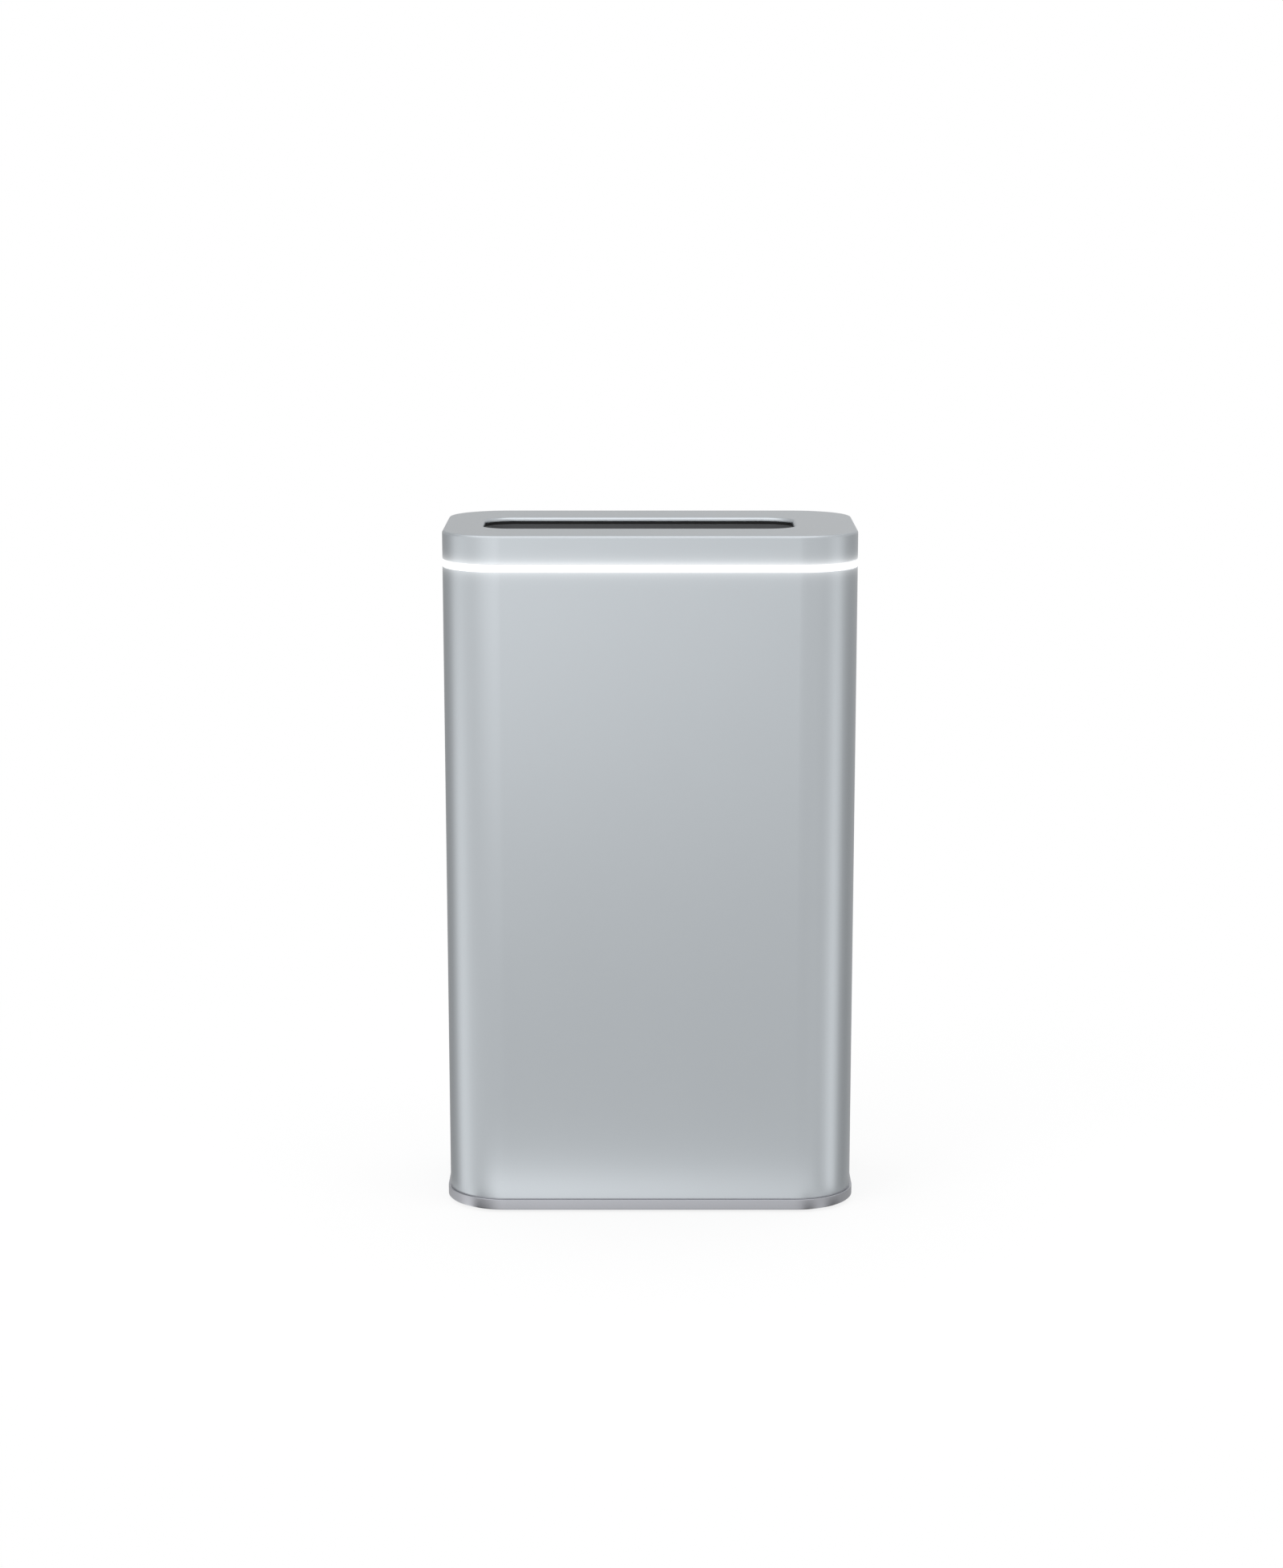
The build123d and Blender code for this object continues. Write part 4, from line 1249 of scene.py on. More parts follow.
@dataclass
class Base:
    """Tray-shaped base: proud rim, shadow gap, spigot, seats and bosses."""

    palette: Palette
    foot_out: float = 0.3  # how far the underside stands out from the sleeve's outline
    rim_out: float = 0.7  # how far the rim does
    rim_foot: float = 0.4
    rim_foot_edge: float = 0.3
    rim_edge: float = 0.2
    gap_depth: float = 0.1
    gap_edge: float = 0.08
    spigot_wall: float = 1.6
    spigot_height: float = 5.0
    spigot_edge: float = 0.3
    floor: float = 2.8
    sink: float = 0.5  # how far bosses and posts reach into the floor
    bosses: tuple[Boss, ...] = (
        Boss((48.6, -4.3), (57.2, 13.2), 3.0, 0.12),
        Boss((-59.2, -3.0), (-54.0, 3.0), 3.0),
    )
    post_x: Pair = (-44.0, 36.0)
    post_y: Pair = (-26.0, 26.0)
    post_half: float = 2.0
    post_height: float = 2.0
    foot_seat: tuple[Pair, ...] = ((5.1, -1.0), (5.1, 1.0))  # radius, and height over the underside
    screw_hole: tuple[Pair, ...] = ((2.3, 0.9), (1.3, 2.2), (1.3, 4.0))  # the same
    notch_half: float = 5.6
    notch_y: Pair = (33.0, 38.0)
    notch_z: Pair = (0.03, 6.0)  # heights over the sleeve's foot
    well: Triple = (7.4, 6.4, 6.0)  # radius, height of its floor, and how far up it is cut
    axle_seats: tuple[Triple, ...] = (  # centre and radius
        (*LAYOUT.spindle, 3.2),
        (LAYOUT.spindle[0], 10.0, 2.0),
        (-56.6, 0.0, 1.5),
    )
    axle_seat_height: float = 4.0

    def build(self) -> None:
        """Builds the base: shell, bosses, then seats and holes."""
        base = wall("base", [LAYOUT.body], self.section(), closed=False)
        fuse(base, self.added(), Fusing.ADD)
        stand_in(shade(fuse(base, self.cuts(), Fusing.CUT)), "base_plate", self.palette)

    @property
    def z_floor(self) -> float:
        """Gives the height of the floor's upper face."""
        return LAYOUT.z_base + self.floor

    def section(self) -> list[Corner]:
        """Section of the shell, from its underside up to the rim, over the spigot and down to the floor.

        Returns:
            The section's corners.
        """
        low, rim_top, gap_top = LAYOUT.z_base, LAYOUT.z_rim, LAYOUT.z_sleeve
        outer, inner = LAYOUT.spigot, LAYOUT.spigot + self.spigot_wall
        spigot_top = gap_top + self.spigot_height
        return [
            Corner(-self.foot_out, low),
            Corner(-self.rim_out, low + self.rim_foot, self.rim_foot_edge),
            Corner(-self.rim_out, rim_top, self.rim_edge),
            Corner(self.gap_depth, rim_top, self.gap_edge),
            Corner(self.gap_depth, gap_top),
            Corner(outer, gap_top),
            Corner(outer, spigot_top, self.spigot_edge),
            Corner(inner, spigot_top, self.spigot_edge),
            Corner(inner, self.z_floor),
        ]

    def added(self) -> list[Object]:
        """Bosses under the lift's bearings and the guide rod, and posts under the main board.

        Returns:
            The solids to add.
        """
        half = self.post_half
        bosses = list(self.bosses)
        for x in self.post_x:
            for y in self.post_y:
                bosses.append(Boss((x - half, y - half), (x + half, y + half), self.post_height))
        foot = self.z_floor - self.sink
        return [
            block("boss", (*boss.low, foot), (*boss.high, self.z_floor + boss.height), boss.edge)
            for boss in bosses
        ]

    def cuts(self) -> list[Object]:
        """Seats of the feet, screw holes, notches at the back, and the well and seats of the drive.

        Returns:
            The solids to cut away.
        """
        cuts = []
        for x, y in LAYOUT.columns:
            cuts.append(turned("seat", self.foot_seat, (x, y, LAYOUT.z_base)))
            cuts.append(turned("screw_hole", self.screw_hole, (x, y, LAYOUT.z_base), steps=32))
        (near, far), (under, over) = self.notch_y, self.notch_z
        for x in (LAYOUT.inlet[0], LAYOUT.button[0]):
            low = (x - self.notch_half, near, LAYOUT.z_sleeve + under)
            cuts.append(block("notch", low, (x + self.notch_half, far, LAYOUT.z_sleeve + over)))
        radius, level, height = self.well
        well = [(radius, 0.0), (radius, height)]
        cuts.append(turned("gear_well", well, (*LAYOUT.spindle, level), steps=64))
        for x, y, radius in self.axle_seats:
            seat = [(radius, 0.0), (radius, self.axle_seat_height)]
            cuts.append(turned("seat", seat, (x, y, self.z_floor)))
        return cuts


@dataclass
class Seal:
    """Soft seal between the cap and the slot liner."""

    palette: Palette
    lip: float = 0.3  # how far the slot's wall stands out over it
    thickness: float = 0.9
    reach: float = 2.0  # its width under the cap
    edge: float = 0.2

    def build(self) -> None:
        """Builds the seal."""
        high, inner = LAYOUT.z_under, LAYOUT.slot_edge - self.lip
        low, outer = high - self.thickness, inner - self.reach
        corners = [
            Corner(outer, low),
            Corner(outer, high),
            Corner(inner, high, self.edge),
            Corner(inner, low, self.edge),
        ]
        seal = rim("slot_seal", LAYOUT.slot, corners, self.palette.materials["seal_rubber"])
        stand_in(shade(seal), "slot_gasket", self.palette)


@dataclass
class Feet:
    """Four soft feet with a rounded edge and a shallow dish."""

    palette: Palette
    height: float = 1.8
    radius: float = 5.0
    rounding: tuple[Pair, ...] = ((0.0, 0.35), (0.1, 0.12), (0.35, 0.0))  # inset and height
    dish: tuple[Pair, ...] = ((3.6, 0.0), (3.3, 0.25), (0.0, 0.25))  # radius and height

    def build(self) -> None:
        """Builds the feet as one piece."""
        section = [(0.0, self.height), (self.radius, self.height)]
        section += [(self.radius - inset, z) for inset, z in self.rounding]
        section += self.dish
        feet = [turned("foot", section, (x, y, 0.0), steps=64) for x, y in LAYOUT.columns]
        stand_in(shade(joined("feet", feet)), "foot_pads", self.palette)


# ---------------------------------------------------------------- inner pieces
@dataclass
class Interior:
    """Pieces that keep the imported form, with the width in millimetres of their softened edges."""

    palette: Palette
    edges: dict[str, float] = field(
        default_factory=lambda: {
            "slot_liner": 0.15,
            "shutter_cover": 0.2,
            "left_frame": 0.2,
            "right_frame": 0.2,
            "chamber_floor": 0.2,
            "front_pane": 0.15,
            "rear_pane": 0.15,
            "front_reflector": 0.0,
            "rear_reflector": 0.0,
            "lamp_caps": 0.3,
            "lamp_clips": 0.15,
            "shutter_deck": 0.2,
            "front_shutter": 0.12,
            "rear_shutter": 0.12,
            "shutter_pinion": 0.0,
            "shutter_motor": 0.1,
            "shutter_bracket": 0.2,
            "door_switch": 0.15,
            "carriage": 0.2,
            "carriage_pad": 0.25,
            "lift_nut": 0.15,
            "lead_gear": 0.0,
            "lift_pinion": 0.0,
            "lift_motor": 0.1,
            "left_guide_rod": 0.3,
            "right_guide_rod": 0.3,
            "screw_bushes": 0.15,
            "upper_bracket": 0.2,
            "rod_clip": 0.2,
            "main_board": 0.1,
            "lamp_driver": 0.1,
            "led_board": 0.0,
            "led_ribbon": 0.0,
            "button_switch": 0.2,
            "phone_sensor": 0.1,
        }
    )
    merge_within: float = 0.002
    flat_below: float = 0.6  # faces that turn by fewer degrees become one
    broken_above: float = 30.0  # edges that turn by more degrees are softened

    def build(self) -> None:
        """Softens and dresses each node."""
        for node, edge in self.edges.items():
            piece = self.cleaned(node)
            if edge > 0:
                self.soften(piece, edge)
            stand_in(shade(piece), node, self.palette)

    def cleaned(self, node: str) -> Object:
        """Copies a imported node, with its points merged and its flat faces whole.

        Args:
            node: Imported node.

        Returns:
            The copy.
        """
        mesh = frame["nodes"][node].data.copy()
        shell = bmesh.new()
        shell.from_mesh(mesh)
        bmesh.ops.remove_doubles(shell, verts=shell.verts, dist=self.merge_within * MM)
        bmesh.ops.dissolve_limit(
            shell,
            angle_limit=math.radians(self.flat_below),
            verts=shell.verts,
            edges=shell.edges,
            use_dissolve_boundaries=False,
        )
        shell.to_mesh(mesh)
        shell.free()
        return object_from(f"{node}_finished", mesh)

    def soften(self, piece: Object, edge: float) -> None:
        """Breaks the edges of a piece.

        Args:
            piece: Piece to soften.
            edge: Width of the broken edges in millimetres.
        """
        broken = piece.modifiers.new("broken_edges", "BEVEL")
        broken.limit_method, broken.angle_limit = "ANGLE", math.radians(self.broken_above)
        broken.width, broken.segments = edge * MM, EDGE_STEPS
        broken.use_clamp_overlap, broken.miter_outer = True, "MITER_SHARP"
        settle(piece)


@dataclass
class Fasteners:
    """Screws that hold the base and the shutter deck to the frames' columns."""

    palette: Palette
    head: Pair = (2.2, 1.2)  # radius and height
    shank: float = 1.15
    recess: Triple = (2.3, 0.5, 0.75)  # span, width and depth
    base_level: float = 1.8  # height of the base screws' heads
    base_length: float = 10.0
    deck_level: float = 186.0  # height of the deck screws' heads
    deck_length: float = 8.0

    def build(self) -> None:
        """Sets the screws in from below, and from above."""
        up = [(x, y, self.base_level) for x, y in LAYOUT.columns]
        stand_in(shade(self.screws("base_screw_set", self.base_length, up)), "base_screws", self.palette)
        over = [(x, -y, -self.deck_level) for x, y in LAYOUT.columns]
        deck = self.screws("deck_screw_set", self.deck_length, over)
        deck.data.transform(Matrix.Rotation(math.pi, 4, "X"))
        stand_in(shade(deck), "deck_screws", self.palette)

    def screws(self, name: str, length: float, places: list[Triple]) -> Object:
        """Grows screws of one length, heads down.

        Args:
            name: Name of the piece.
            length: Whole length of a screw.
            places: Centres of the heads.

        Returns:
            The screws as one piece.
        """
        growth = ScrewGrowth(self.head, self.shank, length, self.recess)
        return growth.grow(name, places, self.palette.materials["screw_steel"])


@dataclass
class RingLights:
    """Chips that light the ring, on its circuit board."""

    palette: Palette
    plan: Plan = Plan(118.0, 68.0, 15.0)
    count: int = 32
    level: float = 190.8
    chip: Triple = (2.4, 1.2, 0.62)
    lens: Triple = (0.95, 0.5, 0.18)

    def build(self) -> None:
        """Places the chips."""
        growth = ChipGrowth(self.plan, self.count, self.level, self.chip, self.lens)
        chips = growth.grow("ring_chips", [(0.0, 0.0, 0.0)], self.palette.materials["led_chip"])
        stand_in(shade(chips), "leds", self.palette)


@dataclass
class LiftScrew:
    """Threaded spindle with plain journals, which raises the carriage."""

    palette: Palette
    foot: float = 3.8
    top: float = 111.0
    thread: Pair = (12.0, 105.0)  # heights of its ends
    radius: float = 2.0
    root: float = 1.6
    lead: float = 2.0
    foot_chamfer: float = 0.3
    tip_chamfer: float = 0.5
    shoulder: float = 0.4
    run_out: float = 0.3
    ridge_sides: int = 4
    ridge_steps: int = 24

    def build(self) -> None:
        """Builds the spindle."""
        r, root, foot, top = self.radius, self.root, self.foot, self.top
        low, high = self.thread
        section = [(0, foot), (r - self.foot_chamfer, foot), (r, foot + self.foot_chamfer)]
        section += [(r, low - self.shoulder), (root, low), (root, high), (r, high + self.shoulder)]
        section += [(r, top - self.tip_chamfer), (r - self.tip_chamfer, top), (0, top)]
        core = turned("spindle_core", section, (*LAYOUT.spindle, 0.0), steps=40)
        turns = (high - low - 2 * self.run_out) / self.lead
        growth = HelixGrowth(root, self.lead, turns, r - root, self.ridge_sides, self.ridge_steps)
        start = (*LAYOUT.spindle, low + self.run_out)
        ridge = growth.grow("spindle_thread", [start], self.palette.materials["rod_steel"])
        stand_in(shade(joined("spindle", [core, ridge])), "lead_screw", self.palette)


@dataclass
class Lamps:
    """Two clear lamp tubes with a wire coil inside each end."""

    palette: Palette
    off_axis: float = 22.6
    span: Pair = (30.0, 178.0)
    radius: float = 3.0
    edge: float = 0.2
    bore: float = 2.3
    end_wall: float = 1.5
    bore_edge: float = 0.5
    bore_end: Pair = (0.1, 0.6)  # heights of the two steps at each end of the bore
    coil: Triple = (1.1, 0.7, 0.14)  # radius, rise in a turn, and radius of the wire
    coil_turns: float = 6.0
    coil_sides: int = 8
    coil_steps: int = 20
    stand_off: float = 4.0  # from a coil to the end of the tube
    lead_radius: float = 0.22

    def build(self) -> None:
        """Builds both lamps."""
        for node, side in (("front_lamp", -1), ("rear_lamp", 1)):
            at = (LAYOUT.chamber_x, side * self.off_axis, 0.0)
            stand_in(shade(self.tube(node, at)), node, self.palette)
            stand_in(shade(self.coils(node, at)), node, self.palette, replaces=False, slot="rod_steel")

    def tube(self, node: str, at: Triple) -> Object:
        """Hollow glass tube.

        Args:
            node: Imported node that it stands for.
            at: Place of its axis.

        Returns:
            The tube.
        """
        (low, high), r, bore, edge = self.span, self.radius, self.bore, self.edge
        outside = [(0, low), (r - edge, low), (r, low + edge)]
        outside += [(r, high - edge), (r - edge, high), (0, high)]
        floor, roof = low + self.end_wall, high - self.end_wall
        narrow, (near, far) = bore - self.bore_edge, self.bore_end
        inside = [(0, floor), (narrow, floor + near), (bore, floor + far)]
        inside += [(bore, roof - far), (narrow, roof - near), (0, roof)]
        hollow = turned("hollow", inside, at, steps=40)
        hollow.data.flip_normals()
        return joined(f"{node}_tube", [turned("tube", outside, at, steps=40), hollow])

    def coils(self, node: str, at: Triple) -> Object:
        """Wire coils at both ends, each on a stiff lead.

        Args:
            node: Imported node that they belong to.
            at: Place of the lamp's axis.

        Returns:
            The coils.
        """
        (low, high), (radius, lead, wire) = self.span, self.coil
        rise = lead * self.coil_turns
        feet = (low + self.stand_off, high - self.stand_off - rise)
        growth = HelixGrowth(radius, lead, self.coil_turns, wire, self.coil_sides, self.coil_steps)
        places = [(at[0], at[1], z) for z in feet]
        coils = growth.grow(f"{node}_wire", places, self.palette.materials["rod_steel"])
        leads, thick = [], self.lead_radius
        for start, end in ((low + self.end_wall, feet[0] + rise), (feet[1], high - self.end_wall)):
            rod = [(0, start), (thick, start), (thick, end), (0, end)]
            leads.append(turned("lead", rod, at, steps=12))
        return joined(f"{node}_coils", [coils, *leads])


@dataclass
class RearControls:
    """Power inlet and button on the back; sections give radius, and depth from the back's face."""

    palette: Palette
    jack_half: float = 5.0
    jack_y: Pair = (21.3, 34.9)
    jack_height: float = 11.6
    jack_edge: float = 0.4
    nose: tuple[Pair, ...] = ((0, -3.0), (5.0, -3.0), (5.0, -0.75), (4.85, -0.5), (4.6, -0.4), (0, -0.4))
    bore: tuple[Pair, ...] = ((3.2, -10.4), (3.2, -1.2), (3.45, -0.95), (3.55, -0.7), (4.0, 0.0))
    pin_foot: tuple[Pair, ...] = ((0, -10.6), (0.95, -10.6))
    pin_tip: tuple[Pair, ...] = ((0.95, -1.6), (0.85, -1.3), (0.6, -1.1), (0, -1.0))
    stem: tuple[Pair, ...] = ((0, -7.5), (1.5, -7.5), (1.5, -3.6))
    flange: tuple[Pair, ...] = ((5.1, -3.6), (5.1, -2.4), (4.2, -2.4))
    button_rim: tuple[Pair, ...] = ((4.2, 0.15), (4.12, 0.34), (3.95, 0.46), (3.7, 0.5), (3.45, 0.46))
    button_dish: tuple[Pair, ...] = ((3.0, 0.33), (2.4, 0.2), (1.6, 0.09), (0.8, 0.03), (0, 0.0))

    def build(self) -> None:
        """Builds the inlet, its contact pin and the button."""
        stand_in(shade(self.jack()), "dc_inlet", self.palette)
        pin = self.along("inlet_pin", self.pin_foot + self.pin_tip, LAYOUT.inlet, 32)
        stand_in(shade(pin), "dc_inlet", self.palette, replaces=False, slot="rod_steel")
        section = self.stem + self.flange + self.button_rim + self.button_dish
        button = self.along("push_button", section, LAYOUT.button, 72)
        stand_in(shade(button), "power_button", self.palette)

    def along(self, name: str, section: tuple[Pair, ...], place: Pair, steps: int) -> Object:
        """Turns a section round an axis through the back.

        Args:
            name: Name of the form.
            section: Radius and depth of each point.
            place: Sideways place and height of the axis.
            steps: Segments round the axis.

        Returns:
            A closed solid.
        """
        x, z = place
        return turned(name, section, (x, LAYOUT.body.width / 2, z), Along.Y, steps)

    def jack(self) -> Object:
        """Socket block with a round, flared nose.

        Returns:
            The socket.
        """
        x = LAYOUT.inlet[0]
        (near, far), low, half = self.jack_y, LAYOUT.board_top, self.jack_half
        body = block("jack", (x - half, near, low), (x + half, far, low + self.jack_height), self.jack_edge)
        fuse(body, [self.along("nose", self.nose, LAYOUT.inlet, 64)], Fusing.ADD)
        return fuse(body, [self.along("bore", self.bore, LAYOUT.inlet, 64)], Fusing.CUT)


@dataclass(frozen=True)
class Chip:
    """Component on a board: centre, size and number of pins on each long side."""

    at: Pair
    size: Triple
    pins: int


@dataclass
class Electronics:
    """Main board's chips, with their pins: covers that stand just outside the board's own blocks."""

    palette: Palette
    chips: tuple[Chip, ...] = (
        Chip((-20.0, 2.0), (12.0, 12.0, 1.4), 16),
        Chip((10.0, -4.0), (9.0, 9.0, 1.4), 12),
        Chip((24.0, 8.0), (10.0, 6.0, 1.8), 8),
    )
    cover_side: float = 0.02  # how far a cover stands out beside the board's own block
    cover_foot: float = 0.1  # how far its foot is above the board
    cover_top: float = 0.05  # how far it stands out over the block
    cover_edge: float = 0.15
    pin: Triple = (0.32, 0.9, 0.22)
    pin_reach: float = 0.4  # from the chip's side to the middle of a pin
    pin_margin: float = 1.6  # what the row of pins is shorter than the chip

    def build(self) -> None:
        """Builds the chips and their pins."""
        covers = joined("board_chips", [self.cover(chip) for chip in self.chips])
        stand_in(shade(covers), "main_board", self.palette, False, "switch_plastic")
        places = [place for chip in self.chips for place in self.pin_places(chip)]
        pins = PinGrowth(self.pin).grow("chip_pins", places, self.palette.materials["rod_steel"])
        stand_in(shade(pins), "main_board", self.palette, False, "rod_steel")

    def cover(self, chip: Chip) -> Object:
        """Softly edged cover of a chip.

        Args:
            chip: Component that it covers.

        Returns:
            The cover.
        """
        (x, y), (long, wide, high) = chip.at, chip.size
        side, z = self.cover_side, LAYOUT.board_top
        low = (x - long / 2 - side, y - wide / 2 - side, z + self.cover_foot)
        high_corner = (x + long / 2 + side, y + wide / 2 + side, z + high + self.cover_top)
        return block("chip", low, high_corner, self.cover_edge)

    def pin_places(self, chip: Chip) -> list[Triple]:
        """Centres of a chip's pins, in pairs along its length.

        Args:
            chip: Component that has them.

        Returns:
            The places.
        """
        (x, y), (long, wide, _) = chip.at, chip.size
        z = LAYOUT.board_top + self.pin[2] / 2
        places = []
        for k in range(chip.pins):
            along = x + (long - self.pin_margin) * (k / (chip.pins - 1) - 0.5)
            places += [(along, y + side * (wide / 2 + self.pin_reach), z) for side in (-1, 1)]
        return places


# ---------------------------------------------------------------- studio
class Surface(Enum):
    """Studio surface that a pattern of light is for."""

    FLOOR = "floor"
    WALL = "wall"


@dataclass(frozen=True)
class LightPattern:
    """How bright the studio looks to metal and glass, by bearing round the object and by distance.

    Bearings run from -180 to 180 degrees, 0 in front and positive to the right. They are taken from the
    axes of the object's front corners, with an allowance near the object, so that each upright line of a
    corner keeps its brightness from top to foot. The near ones hold beside the object's foot, the plain
    ones on the open floor. Distances are from the object's outline, in metres, and tell in front only.
    Leans are how much darker the floor is on the right than in the middle at each distance, and as much
    lighter on the left.
    """

    bearings: tuple[Pair, ...] = (
        (-180, 0.66), (-172, 0.58), (-156, 0.56), (-135, 0.52), (-120, 0.62), (-108, 1.06),
        (-98, 1.32), (-86, 1.24), (-72, 1.00), (-56, 0.93), (-36, 0.93), (-14, 0.945),
        (0, 0.94), (16, 0.97), (34, 0.97), (54, 0.81), (67, 0.98), (79, 1.33),
        (90, 1.12), (103, 0.58), (120, 0.49), (150, 0.66), (172, 0.76), (180, 0.66),
    )
    near_bearings: tuple[Pair, ...] = (
        (-180, 0.60), (-110, 0.90), (-80, 1.40), (-54, 0.24), (-36, 0.42), (-24, 0.70), (-12, 0.92),
        (0, 0.95), (10, 0.86), (28, 0.30), (54, 0.92), (82, 0.26), (112, 0.60), (180, 0.60),
    )
    wall_bearings: tuple[Pair, ...] = (
        (-180, 0.84), (-165, 0.76), (-130, 0.70), (-60, 1.14), (-28, 1.36), (-7, 1.53),
        (10, 1.06), (60, 1.02), (130, 0.78), (165, 0.95), (180, 0.87),
    )
    distances: tuple[Pair, ...] = (
        (0.0, 0.94), (0.008, 1.02), (0.017, 1.43), (0.034, 1.38), (0.052, 0.92),
        (0.12, 0.88), (0.25, 0.86), (0.50, 0.875), (1.0, 1.13), (1.9, 1.44),
    )
    leans: tuple[Pair, ...] = (
        (0.0, 0.10), (0.014, 0.13), (0.020, 0.25), (0.040, 0.23), (0.060, 0.05),
        (0.20, 0.03), (0.50, 0.045), (0.90, 0.12), (1.2, 0.19), (1.9, 0.45),
    )
    lean_within: float = 0.09  # half width of the stretch over which the lean builds up
    near: Pair = (0.011, 0.016)  # distances between which the open floor takes over
    front_within: float = 18.0  # bearings within which distance and lean tell fully
    side_beyond: float = 62.0  # bearings beyond which they don't
    far: float = 2.0  # distance at which the curves of distance end
    span_x: float = LAYOUT.body.length / 2 * MM
    span_y: float = LAYOUT.body.width / 2 * MM
    corner: float = LAYOUT.body.corner * MM

    def strength(self, wiring: Wiring, surface: Surface) -> Socket:
        """Wires the brightness of a studio surface.

        Args:
            wiring: Wiring of the surface's material.
            surface: Floor, which changes with distance too, or wall.

        Returns:
            The strength.
        """
        side, bearing, radius = self._located(wiring)
        turn = wiring.math("MULTIPLY_ADD", bearing, 1.0 / (2 * math.pi), 0.5)
        if surface is Surface.WALL:
            return self._curve(wiring, turn, self._by_turn(self.wall_bearings))
        away = wiring.math("SUBTRACT", radius, self.corner)
        beside_foot = self._curve(wiring, turn, self._by_turn(self.near_bearings))
        open_floor = self._curve(wiring, turn, self._by_turn(self.bearings))
        step = self._smooth_step(wiring, away, self.near)
        change = wiring.math("SUBTRACT", open_floor, beside_foot)
        level = wiring.math("MULTIPLY_ADD", change, step, beside_foot)
        return wiring.math("MULTIPLY", level, self._in_front(wiring, side, bearing, away))

    def _located(self, wiring: Wiring) -> tuple[Socket, Socket, Socket]:
        """Works out where a point of the surface lies.

        Args:
            wiring: Wiring of the surface's material.

        Returns:
            How far it is to the right, its bearing in radians, and its distance from the corner's axis.
        """
        parts = wiring.node("ShaderNodeSeparateXYZ")
        wiring.join(wiring.node("ShaderNodeTexCoord").outputs["Object"], parts.inputs[0])
        side, ahead = parts.outputs["X"], wiring.math("MULTIPLY", parts.outputs["Y"], -1.0)
        past_axis = wiring.math("SUBTRACT", wiring.math("ABSOLUTE", side), self.span_x - self.corner)
        out_x = wiring.math("MAXIMUM", past_axis, 0.0)
        out_y = wiring.math("SUBTRACT", ahead, self.span_y - self.corner)
        square = wiring.math("ADD", wiring.math("POWER", out_x, 2.0), wiring.math("MULTIPLY", out_y, out_y))
        radius = wiring.math("MAXIMUM", wiring.math("SQRT", square), self.corner)
        plain = wiring.math("ARCTAN2", wiring.math("MULTIPLY", out_x, wiring.math("SIGN", side)), out_y)
        allowance = wiring.math("SUBTRACT", 1.0, wiring.math("DIVIDE", self.corner / 2, radius))
        return side, wiring.math("DIVIDE", plain, allowance), radius

    def _in_front(self, wiring: Wiring, side: Socket, bearing: Socket, away: Socket) -> Socket:
        """Wires what distance and side do to the floor in front of the object.

        Args:
            wiring: Wiring of the floor's material.
            side: How far a point is to the right.
            bearing: Its bearing in radians.
            away: Its distance from the outline.

        Returns:
            A factor that is one beside and behind the object.
        """
        limits = (math.radians(self.side_beyond), math.radians(self.front_within))
        front = self._smooth_step(wiring, wiring.math("ABSOLUTE", bearing), limits)
        share = wiring.math("POWER", wiring.math("DIVIDE", away, self.far), 0.5)
        slope = wiring.math("MINIMUM", wiring.math("DIVIDE", side, self.lean_within), 1.0)
        slope = wiring.math("MAXIMUM", slope, -1.0)
        lean = wiring.math("MULTIPLY", slope, self._curve(wiring, share, self._by_root(self.leans)))
        lean = wiring.math("SUBTRACT", 1.0, wiring.math("MULTIPLY", lean, front))
        gain = wiring.math("SUBTRACT", self._curve(wiring, share, self._by_root(self.distances)), 1.0)
        return wiring.math("MULTIPLY", lean, wiring.math("MULTIPLY_ADD", gain, front, 1.0))

    def _by_turn(self, stops: tuple[Pair, ...]) -> list[Pair]:
        """Turns bearings in degrees into places from 0 to 1."""
        return [(0.5 + degrees / 360, value) for degrees, value in stops]

    def _by_root(self, stops: tuple[Pair, ...]) -> list[Pair]:
        """Turns distances into places from 0 to 1 that are closer together far away."""
        return [(math.sqrt(place / self.far), value) for place, value in stops]

    def _smooth_step(self, wiring: Wiring, value: Socket, limits: Pair) -> Socket:
        """Goes smoothly from 0 to 1.

        Args:
            wiring: Wiring of the surface's material.
            value: Value that it follows.
            limits: Values at which it is 0 and 1.

        Returns:
            The share.
        """
        step = wiring.node("ShaderNodeMapRange", interpolation_type="SMOOTHSTEP", Value=value)
        step.inputs["From Min"].default_value, step.inputs["From Max"].default_value = limits
        return step.outputs[0]

    def _curve(self, wiring: Wiring, place: Socket, stops: list[Pair]) -> Socket:
        """Turns a place from 0 to 1 into a brightness by a smooth curve through the stops.

        Args:
            wiring: Wiring of the surface's material.
            place: Place along the curve.
            stops: Place and brightness of each stop.

        Returns:
            The brightness.
        """
        top = max(value for _, value in stops)
        ramp = wiring.node("ShaderNodeValToRGB")
        ramp.color_ramp.interpolation = "EASE"
        while len(ramp.color_ramp.elements) < len(stops):
            ramp.color_ramp.elements.new(0.5)
        for element, (where, value) in zip(ramp.color_ramp.elements, stops):
            element.position = where
            element.color = (value / top, value / top, value / top, 1.0)
        wiring.join(place, ramp.inputs[0])
        return wiring.math("MULTIPLY", ramp.outputs[0], top)


@dataclass(frozen=True)
class SoftLamp:
    """Square lamp of the studio: its place and size in metres, and its power in watts."""

    name: str
    at: Triple
    size: float
    power: float


